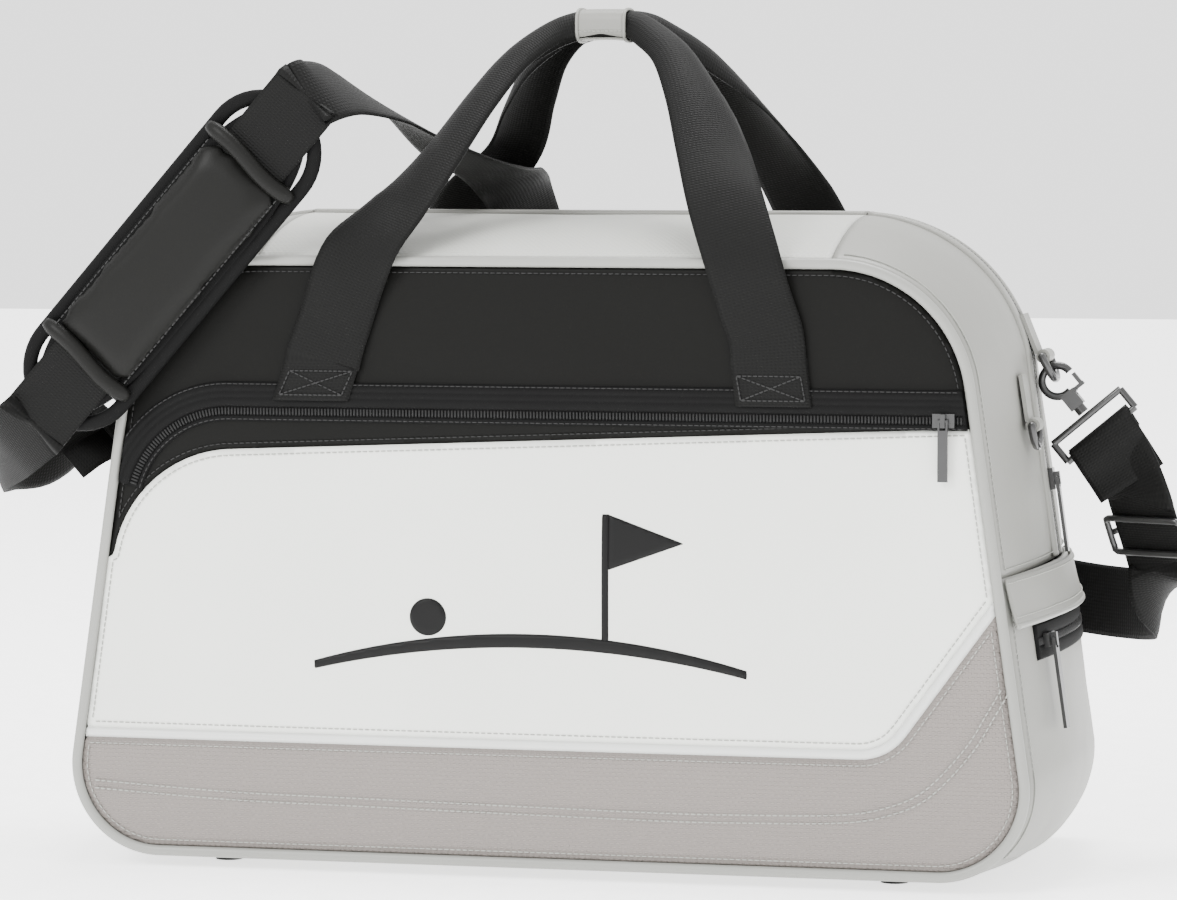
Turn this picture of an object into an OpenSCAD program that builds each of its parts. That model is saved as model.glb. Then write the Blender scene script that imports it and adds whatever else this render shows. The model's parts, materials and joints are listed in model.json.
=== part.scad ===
// Duffel style golf shoe bag: crowned shell, front pocket, twin handles and a shoulder strap.
// Origin on the floor under the centre foot, +X to the right, +Y to the back, +Z up.

/* [Body] */
// Height of the feet, which is where the body starts
foot_h = 6; // [4:1:8]
// Height of the front face above the feet
face_h = 308; // [300:1:312]
// Depth between the outer faces of the front and back panels
body_d = 210; // [206:1:214]
// Half width at the centres of the lower corners
low_corner_x = 202; // [198:1:204]
// Radius of the lower corners
low_corner_r = 46; // [44:1:48]
// Half width at the centres of the upper corners
top_corner_x = 148; // [146:1:150]
// Radius of the upper corners
top_corner_r = 72.5; // [70:0.5:74]
// Thickness of a padded panel
panel_t = 3; // [2.5:0.5:3]
// Width of the piping around the front and back faces
piping_w = 5; // [4:0.5:6]
// Rise of the top between its front and back edges
top_crown = 20; // [18:1:20]
// Bulge of the side gussets
side_crown = 12; // [10:1:12]
// Extra bulge of the side pockets
pocket_crown = 4; // [3:1:5]

/* [Front pocket] */
// Height of the pocket's top edge at the middle
pocket_top_z = 222; // [218:1:224]
// Rise of the pocket's top edge per unit of width
pocket_top_slope = 0.041; // [0.03:0.001:0.045]
// Radius of the pocket's upper left corner
pocket_corner_r = 66; // [60:1:68]
// Height of the trim's top edge
trim_z = 71; // [68:1:74]
// Width of the trim
trim_w = 5; // [4:0.5:6]
// Height of the front zip's centre line
zip_z = 235; // [234:0.5:236]

/* [Webbing and hardware] */
// Width of the handle webbing and the strap
web_w = 38; // [36:1:40]
// Thickness of the webbing
web_t = 2; // [1.5:0.5:2]
// Distance from the middle to a handle leg's centre at its lower end
leg_x = 119; // [117:1:121]
// Radius of the wire in the rings and hooks
wire_r = 2; // [1.8:0.1:2]
// Length of the shoulder pad
pad_l = 206; // [196:1:210]
// Width of the shoulder pad
pad_w = 60; // [56:1:62]
// Centre line of the main zip, from the middle of the depth
main_zip_y = 10; // [8:1:12]

/* [Hidden] */

$fn = 48;
half_d = body_d / 2;
top_z = foot_h + face_h;
low_c = [low_corner_x, foot_h + low_corner_r];
top_c = [top_corner_x, top_z - top_corner_r];
gap = 0.4;                      // clearance between pieces that move apart
pipe_proud = 2;                 // how far the piping stands out of the face
seam_z = 157;                   // seam between the upper gusset and the side pocket
far = 600;                      // larger than the bag, for cutting shapes

// Direction of the outward normal of the straight side, from the two corner circles
corner_span = top_c - low_c;
side_a = atan2(corner_span[1], corner_span[0])
  - acos((low_corner_r - top_corner_r) / norm(corner_span));

function rad(a) = [cos(a), sin(a)];
function arc(c, r, a0, a1, n) = [for (i = [0:n]) c + r * rad(a0 + (a1 - a0) * i / n)];
function mirrored(pts) = [for (i = [len(pts) - 1:-1:0]) [-pts[i][0], pts[i][1]]];
function half_outline(e) = concat(
  arc(low_c, low_corner_r + e, -90, side_a, 10),
  arc(top_c, top_corner_r + e, side_a, 90, 14));
function outline(e) = concat(half_outline(e), mirrored(half_outline(e)));

// A slab drawn in the XZ plane, from y0 to y1
module slab(y0, y1) translate([0, y1, 0]) rotate([90, 0, 0]) linear_extrude(y1 - y0) children();
module face_area(e = 0) polygon(outline(e));

// ---- Crowned strips -------------------------------------------------------------------
// A path point is [x, z, nx, nz, crown], and a strip is swept from y0 to y1 over it.
function on_arc(c, r, a, crown) = let (p = c + r * rad(a)) [p[0], p[1], cos(a), sin(a), crown];
function on_side(z, crown) = let (
    p0 = low_c + low_corner_r * rad(side_a),
    x = p0[0] - (z - p0[1]) * tan(side_a))
  [x, z, cos(side_a), sin(side_a), crown];
function flip(path) = [for (i = [len(path) - 1:-1:0])
  let (p = path[i]) [-p[0], p[1], -p[2], p[3], p[4]]];
function bulge(y) = 1 - pow(y / half_d, 2);
function strip_pt(p, y, lift) = let (c = p[4] * bulge(y) + lift)
  [p[0] + p[2] * c, y, p[1] + p[3] * c];

module strip(path, y0, y1, low, high, rows = 10) {
  n = len(path);
  m = rows + 1;
  ys = [for (j = [0:rows]) y0 + (y1 - y0) * j / rows];
  pts = concat(
    [for (i = [0:n - 1]) for (y = ys) strip_pt(path[i], y, high)],
    [for (i = [0:n - 1]) for (y = ys) strip_pt(path[i], y, low)]);
  under = n * m;
  outer = [for (i = [0:n - 2]) for (j = [0:rows - 1])
    let (a = i * m + j) each [[a, a + m, a + m + 1], [a, a + m + 1, a + 1]]];
  inner = [for (i = [0:n - 2]) for (j = [0:rows - 1])
    let (a = under + i * m + j) each [[a, a + m + 1, a + m], [a, a + 1, a + m + 1]]];
  rims = [for (i = [0:n - 2]) let (a = i * m, b = i * m + rows) each [
    [a, under + a, a + m], [a + m, under + a, under + a + m],
    [b, b + m, under + b], [b + m, under + b + m, under + b]]];
  ends = [for (j = [0:rows - 1]) let (a = j, b = (n - 1) * m + j) each [
    [a, a + 1, under + a], [a + 1, under + a + 1, under + a],
    [b, under + b, b + 1], [b + 1, under + b, under + b + 1]]];
  polyhedron(points = pts, faces = concat(outer, inner, rims, ends), convexity = 6);
}

side_top_z = top_c[1] + top_corner_r * sin(side_a);
upper_path = concat(
  [for (z = [seam_z + gap, 190, 222]) on_side(z, side_crown)],
  [for (i = [0:9]) on_arc(top_c, top_corner_r, side_a + (90 - side_a) * i / 9,
    side_crown + (top_crown - side_crown) * i / 9)]);
pocket_path = concat(
  [for (i = [0:7]) on_arc(low_c, low_corner_r, -50 + (side_a + 50) * i / 7,
    (side_crown + pocket_crown) * sqrt((i + 3) / 10))],
  [for (z = [80, 105, 130, seam_z]) on_side(z, side_crown + pocket_crown)]);
base_half = concat(
  [on_arc([0, low_c[1]], low_corner_r, -90, 0), on_arc([100, low_c[1]], low_corner_r, -90, 0)],
  [for (i = [0:4]) on_arc(low_c, low_corner_r, -90 + 40 * i / 4 - (i == 4 ? 1 : 0),
    (side_crown + pocket_crown) * sqrt(3 / 10) * pow(i / 4, 2))]);
base_path = concat(flip([for (i = [1:len(base_half) - 1]) base_half[i]]), base_half);
top_path = [for (x = [top_corner_x - gap:-(2 * (top_corner_x - gap) / 8):-top_corner_x])
  [x, top_z, 0, 1, top_crown]];

// ---- Panels ----------------------------------------------------------------------------
function pocket_top(x) = pocket_top_z + pocket_top_slope * x;
pocket_c = [-160, pocket_top(-160) - pocket_corner_r];
module pocket_area() {
  corner = arc(pocket_c, pocket_corner_r, 90, 180, 16);
  polygon(concat([[far, 0], [far, pocket_top(far)]], corner, [[pocket_c[0] - pocket_corner_r, 0]]));
  translate([-far, 0]) square([far - 200, 160]);
}

// The trim runs level, turns up and climbs to the right edge of the face
trim_turn_x = 163;              // where the trim starts to turn up
trim_turn_r = 24;               // radius of that turn
trim_climb_a = 54;              // its slope after the turn
function trim_line(drop) = concat(
  [[-far, trim_z - drop]],
  arc([trim_turn_x, trim_z + trim_turn_r], trim_turn_r + drop, -90, -90 + trim_climb_a, 8),
  [[trim_turn_x, trim_z + trim_turn_r] + (trim_turn_r + drop) * rad(-90 + trim_climb_a)
    + 160 * rad(trim_climb_a)]);
module below_trim(drop) polygon(concat(trim_line(drop), [[far, 300], [far, -10], [-far, -10]]));

module front_panel_upper() color([0.17, 0.17, 0.16]) slab(-half_d, -half_d + panel_t)
  difference() {
    face_area(-piping_w);
    pocket_area();
  }

module pocket_panel_white() color([0.89, 0.9, 0.88]) slab(-half_d, -half_d + panel_t)
  difference() {
    intersection() {
      face_area(-piping_w);
      pocket_area();
    }
    below_trim(0);
  }

module pocket_panel_lower() color([0.66, 0.64, 0.63]) slab(-half_d, -half_d + panel_t)
  intersection() {
    face_area(-piping_w);
    below_trim(trim_w);
  }

module pocket_trim() color([0.6, 0.6, 0.59]) slab(-half_d - 1, -half_d + panel_t)
  intersection() {
    face_area(-piping_w);
    difference() {
      below_trim(0);
      below_trim(trim_w);
    }
  }

// A generic golf picture in raised film: a low hill with a ball and a flag on it
emblem_c = [-5, 125];           // top of the hill
emblem_t = 0.6;                 // thickness of the film
hill_r = 400;                   // radius of the hill's top edge
hill_under_r = 480;             // radius of its lower edge
hill_t = 7;                     // thickness of the hill at the middle
hill_l = 250;                   // length of the hill
ball_r = 9.5;                   // radius of the ball
ball_x = -52;                   // the ball, from the middle
flag_x = 38;                    // the pole, from the middle
flag_h = 64;                    // height of the pole
module emblem() color([0.12, 0.12, 0.12]) slab(-half_d - emblem_t, -half_d) translate(emblem_c) {
  intersection() {
    difference() {
      translate([0, -hill_r]) circle(r = hill_r);
      translate([0, -hill_under_r - hill_t]) circle(r = hill_under_r);
    }
    translate([-hill_l / 2, -40]) square([hill_l, 60]);
  }
  translate([flag_x, -3]) square([3.5, flag_h]);
  polygon([[flag_x + 3, flag_h - 3], [flag_x + 42, flag_h - 17], [flag_x + 3, flag_h - 31]]);
  translate([ball_x, ball_r - 2]) circle(r = ball_r);
}

module back_panel() color([0.17, 0.17, 0.16]) slab(half_d - panel_t, half_d) face_area(-piping_w);

module piping() difference() {
  face_area(0);
  face_area(-piping_w);
}
module piping_front() color([0.6, 0.61, 0.59]) slab(-half_d - pipe_proud, -half_d + panel_t) piping();
module piping_rear() color([0.6, 0.61, 0.59]) slab(half_d - panel_t, half_d + pipe_proud) piping();

edge_y = half_d - panel_t;      // the gussets end here, against the panels
module gusset_right() color([0.7, 0.71, 0.68]) strip(upper_path, -edge_y, edge_y, -panel_t, 0);
module gusset_left() color([0.7, 0.71, 0.68]) strip(flip(upper_path), -edge_y, edge_y, -panel_t, 0);
module side_pocket_right() color([0.72, 0.73, 0.7]) strip(pocket_path, -edge_y, edge_y, -panel_t, 0);
module side_pocket_left() color([0.72, 0.73, 0.7])
  strip(flip(pocket_path), -edge_y, edge_y, -panel_t, 0);
module base_panel() color([0.6, 0.6, 0.58]) strip(base_path, -edge_y, edge_y, -panel_t, 0);

board_t = 3;                    // thickness of the stiffening board in the base
module base_board() color([0.2, 0.2, 0.2])
  translate([-190, -92, foot_h + panel_t + gap]) cube([380, 184, board_t]);

foot_r = 7;                     // radius of a foot
foot_x = 175;                   // feet from the middle, along the bag
foot_y = 70;                    // feet from the middle, across the bag
module feet() color([0.1, 0.1, 0.1])
  for (p = [[0, 0], [foot_x, foot_y], [-foot_x, foot_y], [foot_x, -foot_y], [-foot_x, -foot_y]])
    translate([p[0], p[1], 0]) cylinder(r = foot_r, h = foot_h);

lining_e = -9;                  // the lining's outer face, in from the outline
lining_t = 1;                   // its thickness
lining_top = 296;               // it is open above this height
module lining() color([0.3, 0.3, 0.32]) difference() {
  slab(-half_d + 6, half_d - 6) face_area(lining_e);
  slab(-half_d + 6 + lining_t, half_d - 6 - lining_t) face_area(lining_e - lining_t);
  translate([-far, -far, lining_top]) cube([2 * far, 2 * far, 100]);
  translate([-192, -94, 0]) cube([384, 188, foot_h + panel_t + board_t + 2 * gap]);
}

// ---- Top panels and main zip ---------------------------------------------------------------
zip_gap = 3.5;                  // half the width of the coil between the two top panels
hinge_y = edge_y - gap;         // the top panels turn up about their outer edges
module top_panel_front() color([0.8, 0.81, 0.79])
  strip(top_path, -hinge_y, main_zip_y - zip_gap, -panel_t, 0, 8);
module top_panel_rear() color([0.8, 0.81, 0.79])
  strip(top_path, main_zip_y + zip_gap, hinge_y, -panel_t, 0, 8);
tape_w = 14;                    // width of each half of the main zip's placket
module main_zip_tape_front() color([0.6, 0.61, 0.59])
  strip(top_path, main_zip_y - tape_w, main_zip_y - 0.2, 0.1, 1.2, 3);
module main_zip_tape_rear() color([0.6, 0.61, 0.59])
  strip(top_path, main_zip_y + 0.2, main_zip_y + tape_w, 0.1, 1.2, 3);
module main_zip_tape_sides() color([0.6, 0.61, 0.59]) {
  strip(upper_path, main_zip_y - tape_w, main_zip_y + tape_w, 0.1, 1.2, 4);
  strip(flip(upper_path), main_zip_y - tape_w, main_zip_y + tape_w, 0.1, 1.2, 4);
}

// A slider body with a bridge, whose eye takes the pull's pin. The eye runs across the zip, or
// along it when the bridge is turned, for a pull that hangs square to its zip.
// It is drawn with the zip running along +Z and the fabric behind it at x = 0.
slider_l = 11;                  // length along the zip
slider_w = 7;                   // width across the zip
pin_r = 0.9;                    // radius of the pull's pin
pin_x = 4.2;                    // height of the pin above the fabric
running = 0.06;                 // clearance of a pin in its bore
module slider(turn = 0) {
  translate([0.2, -slider_w / 2, -slider_l / 2]) cube([2.6, slider_w, slider_l]);
  rotate([turn, 0, 0]) difference() {
    translate([2.8, -1.2, -3.4]) cube([2.9, 2.4, 6.8]);
    translate([pin_x, 0, 0]) rotate([90, 0, 0])
      cylinder(r = pin_r + running, h = 10, center = true);
  }
}
// The pull hangs from the pin towards -Z
module pull(l, w = 5) {
  translate([pin_x, 0, 0]) rotate([90, 0, 0]) cylinder(r = pin_r, h = w, center = true);
  for (s = [-1, 1]) translate([pin_x - 0.9, s * (w / 2 - 0.5) - 0.5, -5]) cube([1.8, 1, 5]);
  translate([pin_x - 0.9, -w / 2, -l]) cube([1.8, w, l - 4.6]);
}

// Frames of the three sliders: origin on the fabric, X away from it, Z along the zip
main_slider_z = 197;            // rest height of the main slider
main_slider_p = strip_pt(on_side(main_slider_z, side_crown), main_zip_y, 1.3);
module at_main_slider() translate(main_slider_p) rotate([0, -side_a, 0]) children();
module main_zip_slider() color([0.12, 0.12, 0.12]) at_main_slider() slider();
module main_zip_pull() color([0.1, 0.1, 0.1]) at_main_slider() pull(38);

front_slider_x = 205;           // rest place of the front slider, at the closed end
tape_t = 1;                     // thickness of the front zip's tape
module at_front_slider() translate([front_slider_x, -half_d - tape_t, zip_z])
  rotate([0, 0, -90]) rotate([90, 0, 0]) children();
module front_zip_slider() color([0.12, 0.12, 0.12]) at_front_slider() slider(90);
module front_zip_pull() color([0.1, 0.1, 0.1])
  translate([front_slider_x, -half_d - tape_t, zip_z]) rotate([0, 0, -90]) pull(30);

// ---- Front zip -----------------------------------------------------------------------------
band_low = 230;                 // lower edge of the zip band
band_high = 250;                // upper edge of the zip band
bend_c = [-163, 182];           // centre of the band's bend at the left
module zip_band(z0, z1) {
  r0 = z0 - bend_c[1];
  r1 = z1 - bend_c[1];
  polygon(concat([[far, z0], [far, z1]], arc(bend_c, r1, 90, 165, 12), arc(bend_c, r0, 165, 90, 12)));
}
module front_zip_tape() color([0.14, 0.14, 0.14]) slab(-half_d - tape_t, -half_d)
  intersection() {
    face_area(-piping_w - 0.5);
    difference() {
      zip_band(band_low, band_high);
      zip_band(zip_z - 1.6, zip_z + 1.6);
    }
  }
module front_zip_coil() color([0.08, 0.08, 0.08]) slab(-half_d - tape_t - 0.15, -half_d)
  intersection() {
    face_area(-piping_w - 0.5);
    zip_band(zip_z - 1.5, zip_z + 1.5);
  }

// ---- Side pocket's zip ---------------------------------------------------------------------
side_zip_z = 122;               // height of the side zip
side_x = on_side(side_zip_z, 0)[0];
flap_drop = 24;                 // height of the rain flap over the zip
side_path = [for (z = [side_zip_z - 6, side_zip_z + 6]) on_side(z, side_crown + pocket_crown)];
flap_path = [for (z = [seam_z - flap_drop, seam_z - 1]) on_side(z, side_crown + pocket_crown)];
module side_zip_tape() color([0.16, 0.16, 0.16]) strip(side_path, -75, 75, 0.1, 1.1, 12);
module side_pocket_flap() color([0.68, 0.69, 0.66]) strip(flap_path, -edge_y, edge_y, 0.2, 1.6, 14);
side_slider_y = -62;            // rest place of the side slider
side_slider_p = strip_pt(on_side(side_zip_z, side_crown + pocket_crown), side_slider_y, 1.4);
side_turn = 9.2;                // turn of the side slider, which follows the bulge
module at_side_slider() translate(side_slider_p) rotate([0, -side_a, 0]) rotate([0, 0, -side_turn])
  children();
module side_zip_slider() color([0.12, 0.12, 0.12]) at_side_slider() rotate([90, 0, 0]) slider(90);
module side_zip_pull() color([0.08, 0.08, 0.08]) at_side_slider() pull(45);

// ---- Ribbons -------------------------------------------------------------------------------
// A control point is [x, y, z, wx, wy, wz, width]: where the ribbon is, which way its width lies
// and how wide it is there. A smooth curve is swept through them. Its two ends are cut along
// their own width directions, and every other section is square to the curve.
function curve_at(p, i, t) = let (
    n = len(p) - 1,
    a = p[max(i - 1, 0)], b = p[i], c = p[min(i + 1, n)], d = p[min(i + 2, n)])
  0.5 * (2 * b + (c - a) * t + (2 * a - 5 * b + 4 * c - d) * t * t
    + (3 * b - a - 3 * c + d) * t * t * t);
function smooth(p, steps) = concat(
  [for (i = [0:len(p) - 2]) for (s = [0:steps - 1]) curve_at(p, i, s / steps)], [p[len(p) - 1]]);
function first3(v) = [v[0], v[1], v[2]];
function unit(v) = v / norm(v);
module ribbon(ctrl, t, steps = 4) {
  q = smooth(ctrl, steps);
  n = len(q);
  pts = [for (i = [0:n - 1]) let (
      along = unit(first3(q[min(i + 1, n - 1)]) - first3(q[max(i - 1, 0)])),
      w0 = [q[i][3], q[i][4], q[i][5]],
      square = i == 0 || i == n - 1 ? 0 : 1,
      across = unit(w0 - square * along * (w0 * along)),
      up = unit(cross(along, across)),
      w = across * q[i][6] / 2,
      h = up * t / 2)
    each [first3(q[i]) - w - h, first3(q[i]) + w - h, first3(q[i]) + w + h, first3(q[i]) - w + h]];
  sides = [for (i = [0:n - 2]) for (k = [0:3]) let (a = 4 * i + k, b = 4 * i + (k + 1) % 4)
    each [[a, a + 4, b + 4], [a, b + 4, b]]];
  last = 4 * (n - 1);
  polyhedron(points = pts,
    faces = concat(sides, [[0, 1, 2], [0, 2, 3], [last, last + 2, last + 1], [last, last + 3, last + 2]]),
    convexity = 8);
}

// ---- Handles -------------------------------------------------------------------------------
fold_z = 262;                   // a handle folds down about this height
patch_low = 240.5;              // lower edge of the sewn patches, just above the zip
leg_y = half_d + 3.2;           // the webbing's middle, out from the middle of the depth
grip_w = 20;                    // width of the webbing where it is folded for the hand
lean_r = 7;                     // lean of the right legs where they leave the patches
lean_l = 17;                    // lean of the left legs there
rise = fold_z - patch_low;      // height of a patch
leg_rx = leg_x + 1 - rise * tan(lean_r);
leg_lx = leg_x - rise * tan(lean_l);
grip_c = [12, 12, 431.6];       // middle of the rear grip
handle_right = [
  [leg_rx, leg_y, fold_z + 2.2, 1, 0, 0, web_w / cos(lean_r)], [116, 108.6, 276, 1, 0, 0, web_w],
  [110.8, 109.6, 292, 1, 0, 0, web_w], [104, 110.4, 315, 1, 0, 0, web_w],
  [93, 98, 343, 1, 0.1, 0, web_w], [82, 76, 369, 0.93, 0.25, -0.1, 37], [70, 53, 394, 0.7, 0.6, 0, 34],
  [55, 31, 414, 0.4, 0.9, 0, 28], [38.5, 17, 425.5, 0.12, 1, 0, 23], [27, 12.2, 430.8, 0, 1, 0, grip_w]];
handle_left_top = [
  [-3, 12.2, 430.6, 0, 1, 0, grip_w], [-17, 16, 425, -0.1, 1, 0, 23], [-33.5, 31, 411, -0.35, 0.92, 0, 28],
  [-47, 52, 391, -0.5, 0.85, 0.1, 32], [-60, 73, 367, -0.6, 0.75, 0.2, 35]];
handle_left_low = [
  [-75, 93, 341, -0.75, 0.6, 0.3, web_w], [-93, 110.4, 315, -1, 0, 0, web_w],
  [-107, 108.6, 278, -1, 0, 0, web_w], [-leg_lx, leg_y, fold_z + 2.2, -1, 0, 0, web_w / cos(lean_l)]];
function on_handle(p, side, dx) = [p[0] + dx, side * p[1], p[2], p[3], -side * p[4], p[5], p[6]];
function handle_ctrl(side, dx) = concat(
  [for (p = handle_right) on_handle(p, side, 0)],
  [on_handle(concat(grip_c, [0, 1, 0, grip_w]), side, 0)],
  [for (p = handle_left_top) on_handle(p, side, 0)],
  [for (i = [0:3]) on_handle(handle_left_low[i], side, dx[i])]);
module handle(side, dx, steps) ribbon(handle_ctrl(side, dx), web_t + 0.4, steps);
module front_handle_webbing() color([0.14, 0.14, 0.14]) handle(-1, [0, 0, 0, 0], 4);
module rear_handle_webbing() color([0.14, 0.14, 0.14]) handle(1, [-11, -9, -1, 0], 3);
// A patch leans with its leg, with level lower and upper edges
module patch(x, lean) polygon([
  [x - web_w / 2, patch_low], [x + web_w / 2, patch_low],
  [x + web_w / 2 + rise * tan(lean), fold_z - 1.5], [x - web_w / 2 + rise * tan(lean), fold_z - 1.5]]);
module patches() {
  patch(leg_x + 1, -lean_r);
  patch(-leg_x, lean_l);
}
module handle_patches_front() color([0.16, 0.16, 0.16])
  slab(-half_d - 4.4, -half_d - 1.1) patches();
module handle_patches_rear() color([0.16, 0.16, 0.16]) slab(half_d, half_d + 4.4) patches();
keeper_l = 25;                  // length of the wrap at the middle of the front handle
keeper_t = 1.4;                 // its thickness
keeper_in = [22, 10.4];         // the wrap's inside width and height
module keeper_block(l, e) translate([grip_c[0], -grip_c[1], grip_c[2]])
  cube([l, keeper_in[0] + 2 * e, keeper_in[1] + 2 * e], center = true);
module handle_keeper() color([0.68, 0.69, 0.65]) difference() {
  keeper_block(keeper_l, keeper_t);
  keeper_block(2 * keeper_l, 0);
}

// ---- Rings and their tabs ------------------------------------------------------------------
ring_y = 12;                    // the strap rings, from the middle of the depth
ring_p = [238, ring_y, 262];    // the pin of the right strap ring
ring_r = 13;                    // bend radius of a strap ring
ring_tilt = 25;                 // how far a strap ring leans out under the hook
acc_p = [238.8, -30, 229];       // the pin of the accessory ring
acc_r = 11;                     // bend radius of the accessory ring

// A D-shaped ring that hangs towards -Z from a straight pin along Y
module d_ring(r) {
  rotate([90, 0, 0]) cylinder(r = wire_r, h = 2 * r, center = true);
  rotate([0, 90, 0]) rotate([0, 0, -90]) rotate_extrude(angle = 180) translate([r, 0])
    circle(r = wire_r, $fn = 24);
  for (s = [-1, 1]) translate([0, s * r, 0]) sphere(r = wire_r, $fn = 24);
}
// A tab with a loop around the pin. It reaches up along the gusset, which leans back by lean.
module tab(r, up, lean) difference() {
  union() {
    rotate([90, 0, 0]) cylinder(r = wire_r + 1.6, h = 2 * r - 8, center = true);
    rotate([0, -lean, 0]) translate([-wire_r - 1.5, -r + 4.2, 2.5]) cube([2, 2 * r - 8.4, up - 2.5]);
  }
  rotate([90, 0, 0]) cylinder(r = wire_r + running, h = 2 * r + 10, center = true);
}
tab_lean = 22;                  // lean of the strap tabs, along the bag's shoulder
module strap_tab() translate(ring_p) tab(ring_r, 24, tab_lean);
module strap_tab_right() color([0.66, 0.67, 0.64]) strap_tab();
module strap_tab_left() color([0.66, 0.67, 0.64]) mirror([1, 0, 0]) strap_tab();
module accessory_tab() color([0.62, 0.62, 0.6]) translate(acc_p) tab(acc_r, 26, 9);
module strap_ring() translate(ring_p) rotate([0, -ring_tilt, 0]) d_ring(ring_r);
module strap_ring_right() color([0.08, 0.08, 0.08]) strap_ring();
module strap_ring_left() color([0.08, 0.08, 0.08]) mirror([1, 0, 0]) strap_ring();
module accessory_ring() color([0.08, 0.08, 0.08]) translate(acc_p) rotate([0, -8, 0]) d_ring(acc_r);

// ---- Hooks ---------------------------------------------------------------------------------
// A hook is drawn in the XZ plane with its claw's centre at the origin and its shank to -Z
hook_r = 8;                     // bend radius of the claw
hook_tilt = 40;                 // how far the hook leans out
hook_p = ring_p + [ring_r * sin(ring_tilt) + 0.8, 0, -ring_r * cos(ring_tilt) - 1.2];
shank_z = -21;                  // end of the shank, where the strap loop starts
gate_p = [4, 0, -9.2];          // the gate's pin
loop_w = web_w + 3;             // inside width of the strap loop
module hook_body() {
  rotate([90, 0, 0]) rotate_extrude(angle = 285) translate([hook_r, 0]) circle(r = wire_r, $fn = 24);
  difference() {
    translate([-4, -3.2, -17]) cube([8, 6.4, 9.5]);
    translate([2, -1.7, -12]) cube([10, 3.4, 8]);
    translate(gate_p + [0.2, 0, -0.2]) rotate([90, 0, 0]) cylinder(r = 1.06, h = 20, center = true);
  }
  translate([0, 0, shank_z]) cylinder(r = 3, h = 5);
  translate([0, 0, shank_z - 2.5]) loop_bars();
}
// The rectangular loop for the strap, with its long bars along X
loop_h = 9;                     // inside height of the strap loop
module loop_bars() for (z = [0, -loop_h - 3]) translate([0, 0, z])
  rotate([0, 90, 0]) cylinder(r = 1.8, h = loop_w + 4, center = true);
module loop_ends() for (s = [-1, 1]) translate([s * (loop_w / 2 + 1.8), 0, shank_z - 2.5 - loop_h - 3])
  cylinder(r = 1.8, h = loop_h + 3);
module hook() {
  hook_body();
  loop_ends();
}
module at_hook() translate(hook_p) rotate([0, -hook_tilt, 0]) children();
module hook_right() color([0.08, 0.08, 0.08]) at_hook() hook();
module hook_left() color([0.08, 0.08, 0.08]) mirror([1, 0, 0]) at_hook() hook();
// The gate is a small lever on a pin that closes the claw's mouth
module gate() {
  translate(gate_p + [0.2, 0, -0.2]) rotate([90, 0, 0]) cylinder(r = 1, h = 6.4, center = true);
  translate(gate_p + [-0.8, -1.3, -0.6]) cube([7, 2.6, 2]);
  translate(gate_p + [3.8, -1.3, 0]) cube([2, 2.6, 7.3]);
}
module hook_gate_right() color([0.08, 0.08, 0.08]) at_hook() gate();
module hook_gate_left() color([0.08, 0.08, 0.08]) mirror([1, 0, 0]) at_hook() gate();

// ---- Shoulder strap ------------------------------------------------------------------------
loop_p = hook_p + (shank_z - 2.5 - loop_h / 2 - 1.5) * [-sin(hook_tilt), 0, cos(hook_tilt)];
pad_c = [-190, -120, 311];      // middle of the shoulder pad
pad_a = 49;                     // slope of the pad
pad_dir = [cos(pad_a), 0, sin(pad_a)];
pad_w_dir = [sin(pad_a), 0, -cos(pad_a)];
glide_p = [290, 30, 170];       // middle of the three-bar slider
glide_dir = unit([6, 14, -26]); // direction of the strap through it
glide_w_dir = [0.7, -0.3, 0];   // direction of the strap's width there
function web(p, w) = [p[0], p[1], p[2], w[0], w[1], w[2], web_w];
glide_stops = [-28, -17, 0, 17, 28];
pad_stops = [1.02, 0.97, 0.4, -0.4, -0.97, -1.02];
strap_ctrl = [
  web(loop_p + [1, 3.6, -1], [0.77, 0, 0.64]),
  for (g = glide_stops) web(glide_p + g * glide_dir, glide_w_dir),
  web([290, 82, 130], [0.3, -0.3, 0.9]),
  web([262, 116, 126], [0, 0, 1]),
  web([210, 134, 132], [0, 0, 1]),
  web([110, 136, 152], [0.3, 0, 0.9]),
  web([20, 135, 194], [0.7, 0, 0.7]),
  web([-34, 132, 250], [0.9, 0, 0.4]),
  web([-56, 127, 302], [0.85, 0.3, 0.3]),
  web([-61.5, 106, 336], [0.7, 0.65, 0.3]),
  web([-60, 72, 349], [0.75, 0.6, 0.2]),
  web([-63, 35, 356], [0.9, 0.3, 0]),
  web([-72, 0, 364], [0.95, 0, -0.1]),
  web([-83, -35, 378], [0.85, 0.1, -0.4]),
  web([-96, -66, 391], [0.75, 0.2, -0.5]),
  web([-105, -93, 398], [0.7, 0.2, -0.6]),
  web([-110, -113, 398], [0.7, 0.1, -0.65]),
  for (k = pad_stops) web(pad_c + k * (pad_l / 2 + 6) * pad_dir, pad_w_dir),
  web([-284, -104, 214], [0.7, 0, -0.7]),
  web([-303, -74, 207], [0.4, 0, -0.9]),
  web([-302, -38, 206], [-0.1, 0, -1]),
  web([-288, -10, 206], [-0.5, 0, -0.8]),
  web([-loop_p[0], loop_p[1], loop_p[2]] + [-1, -3.6, -1], [-0.77, 0, 0.64] * -1)];
module strap_webbing() color([0.14, 0.14, 0.14]) ribbon(strap_ctrl, web_t, 3);

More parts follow.
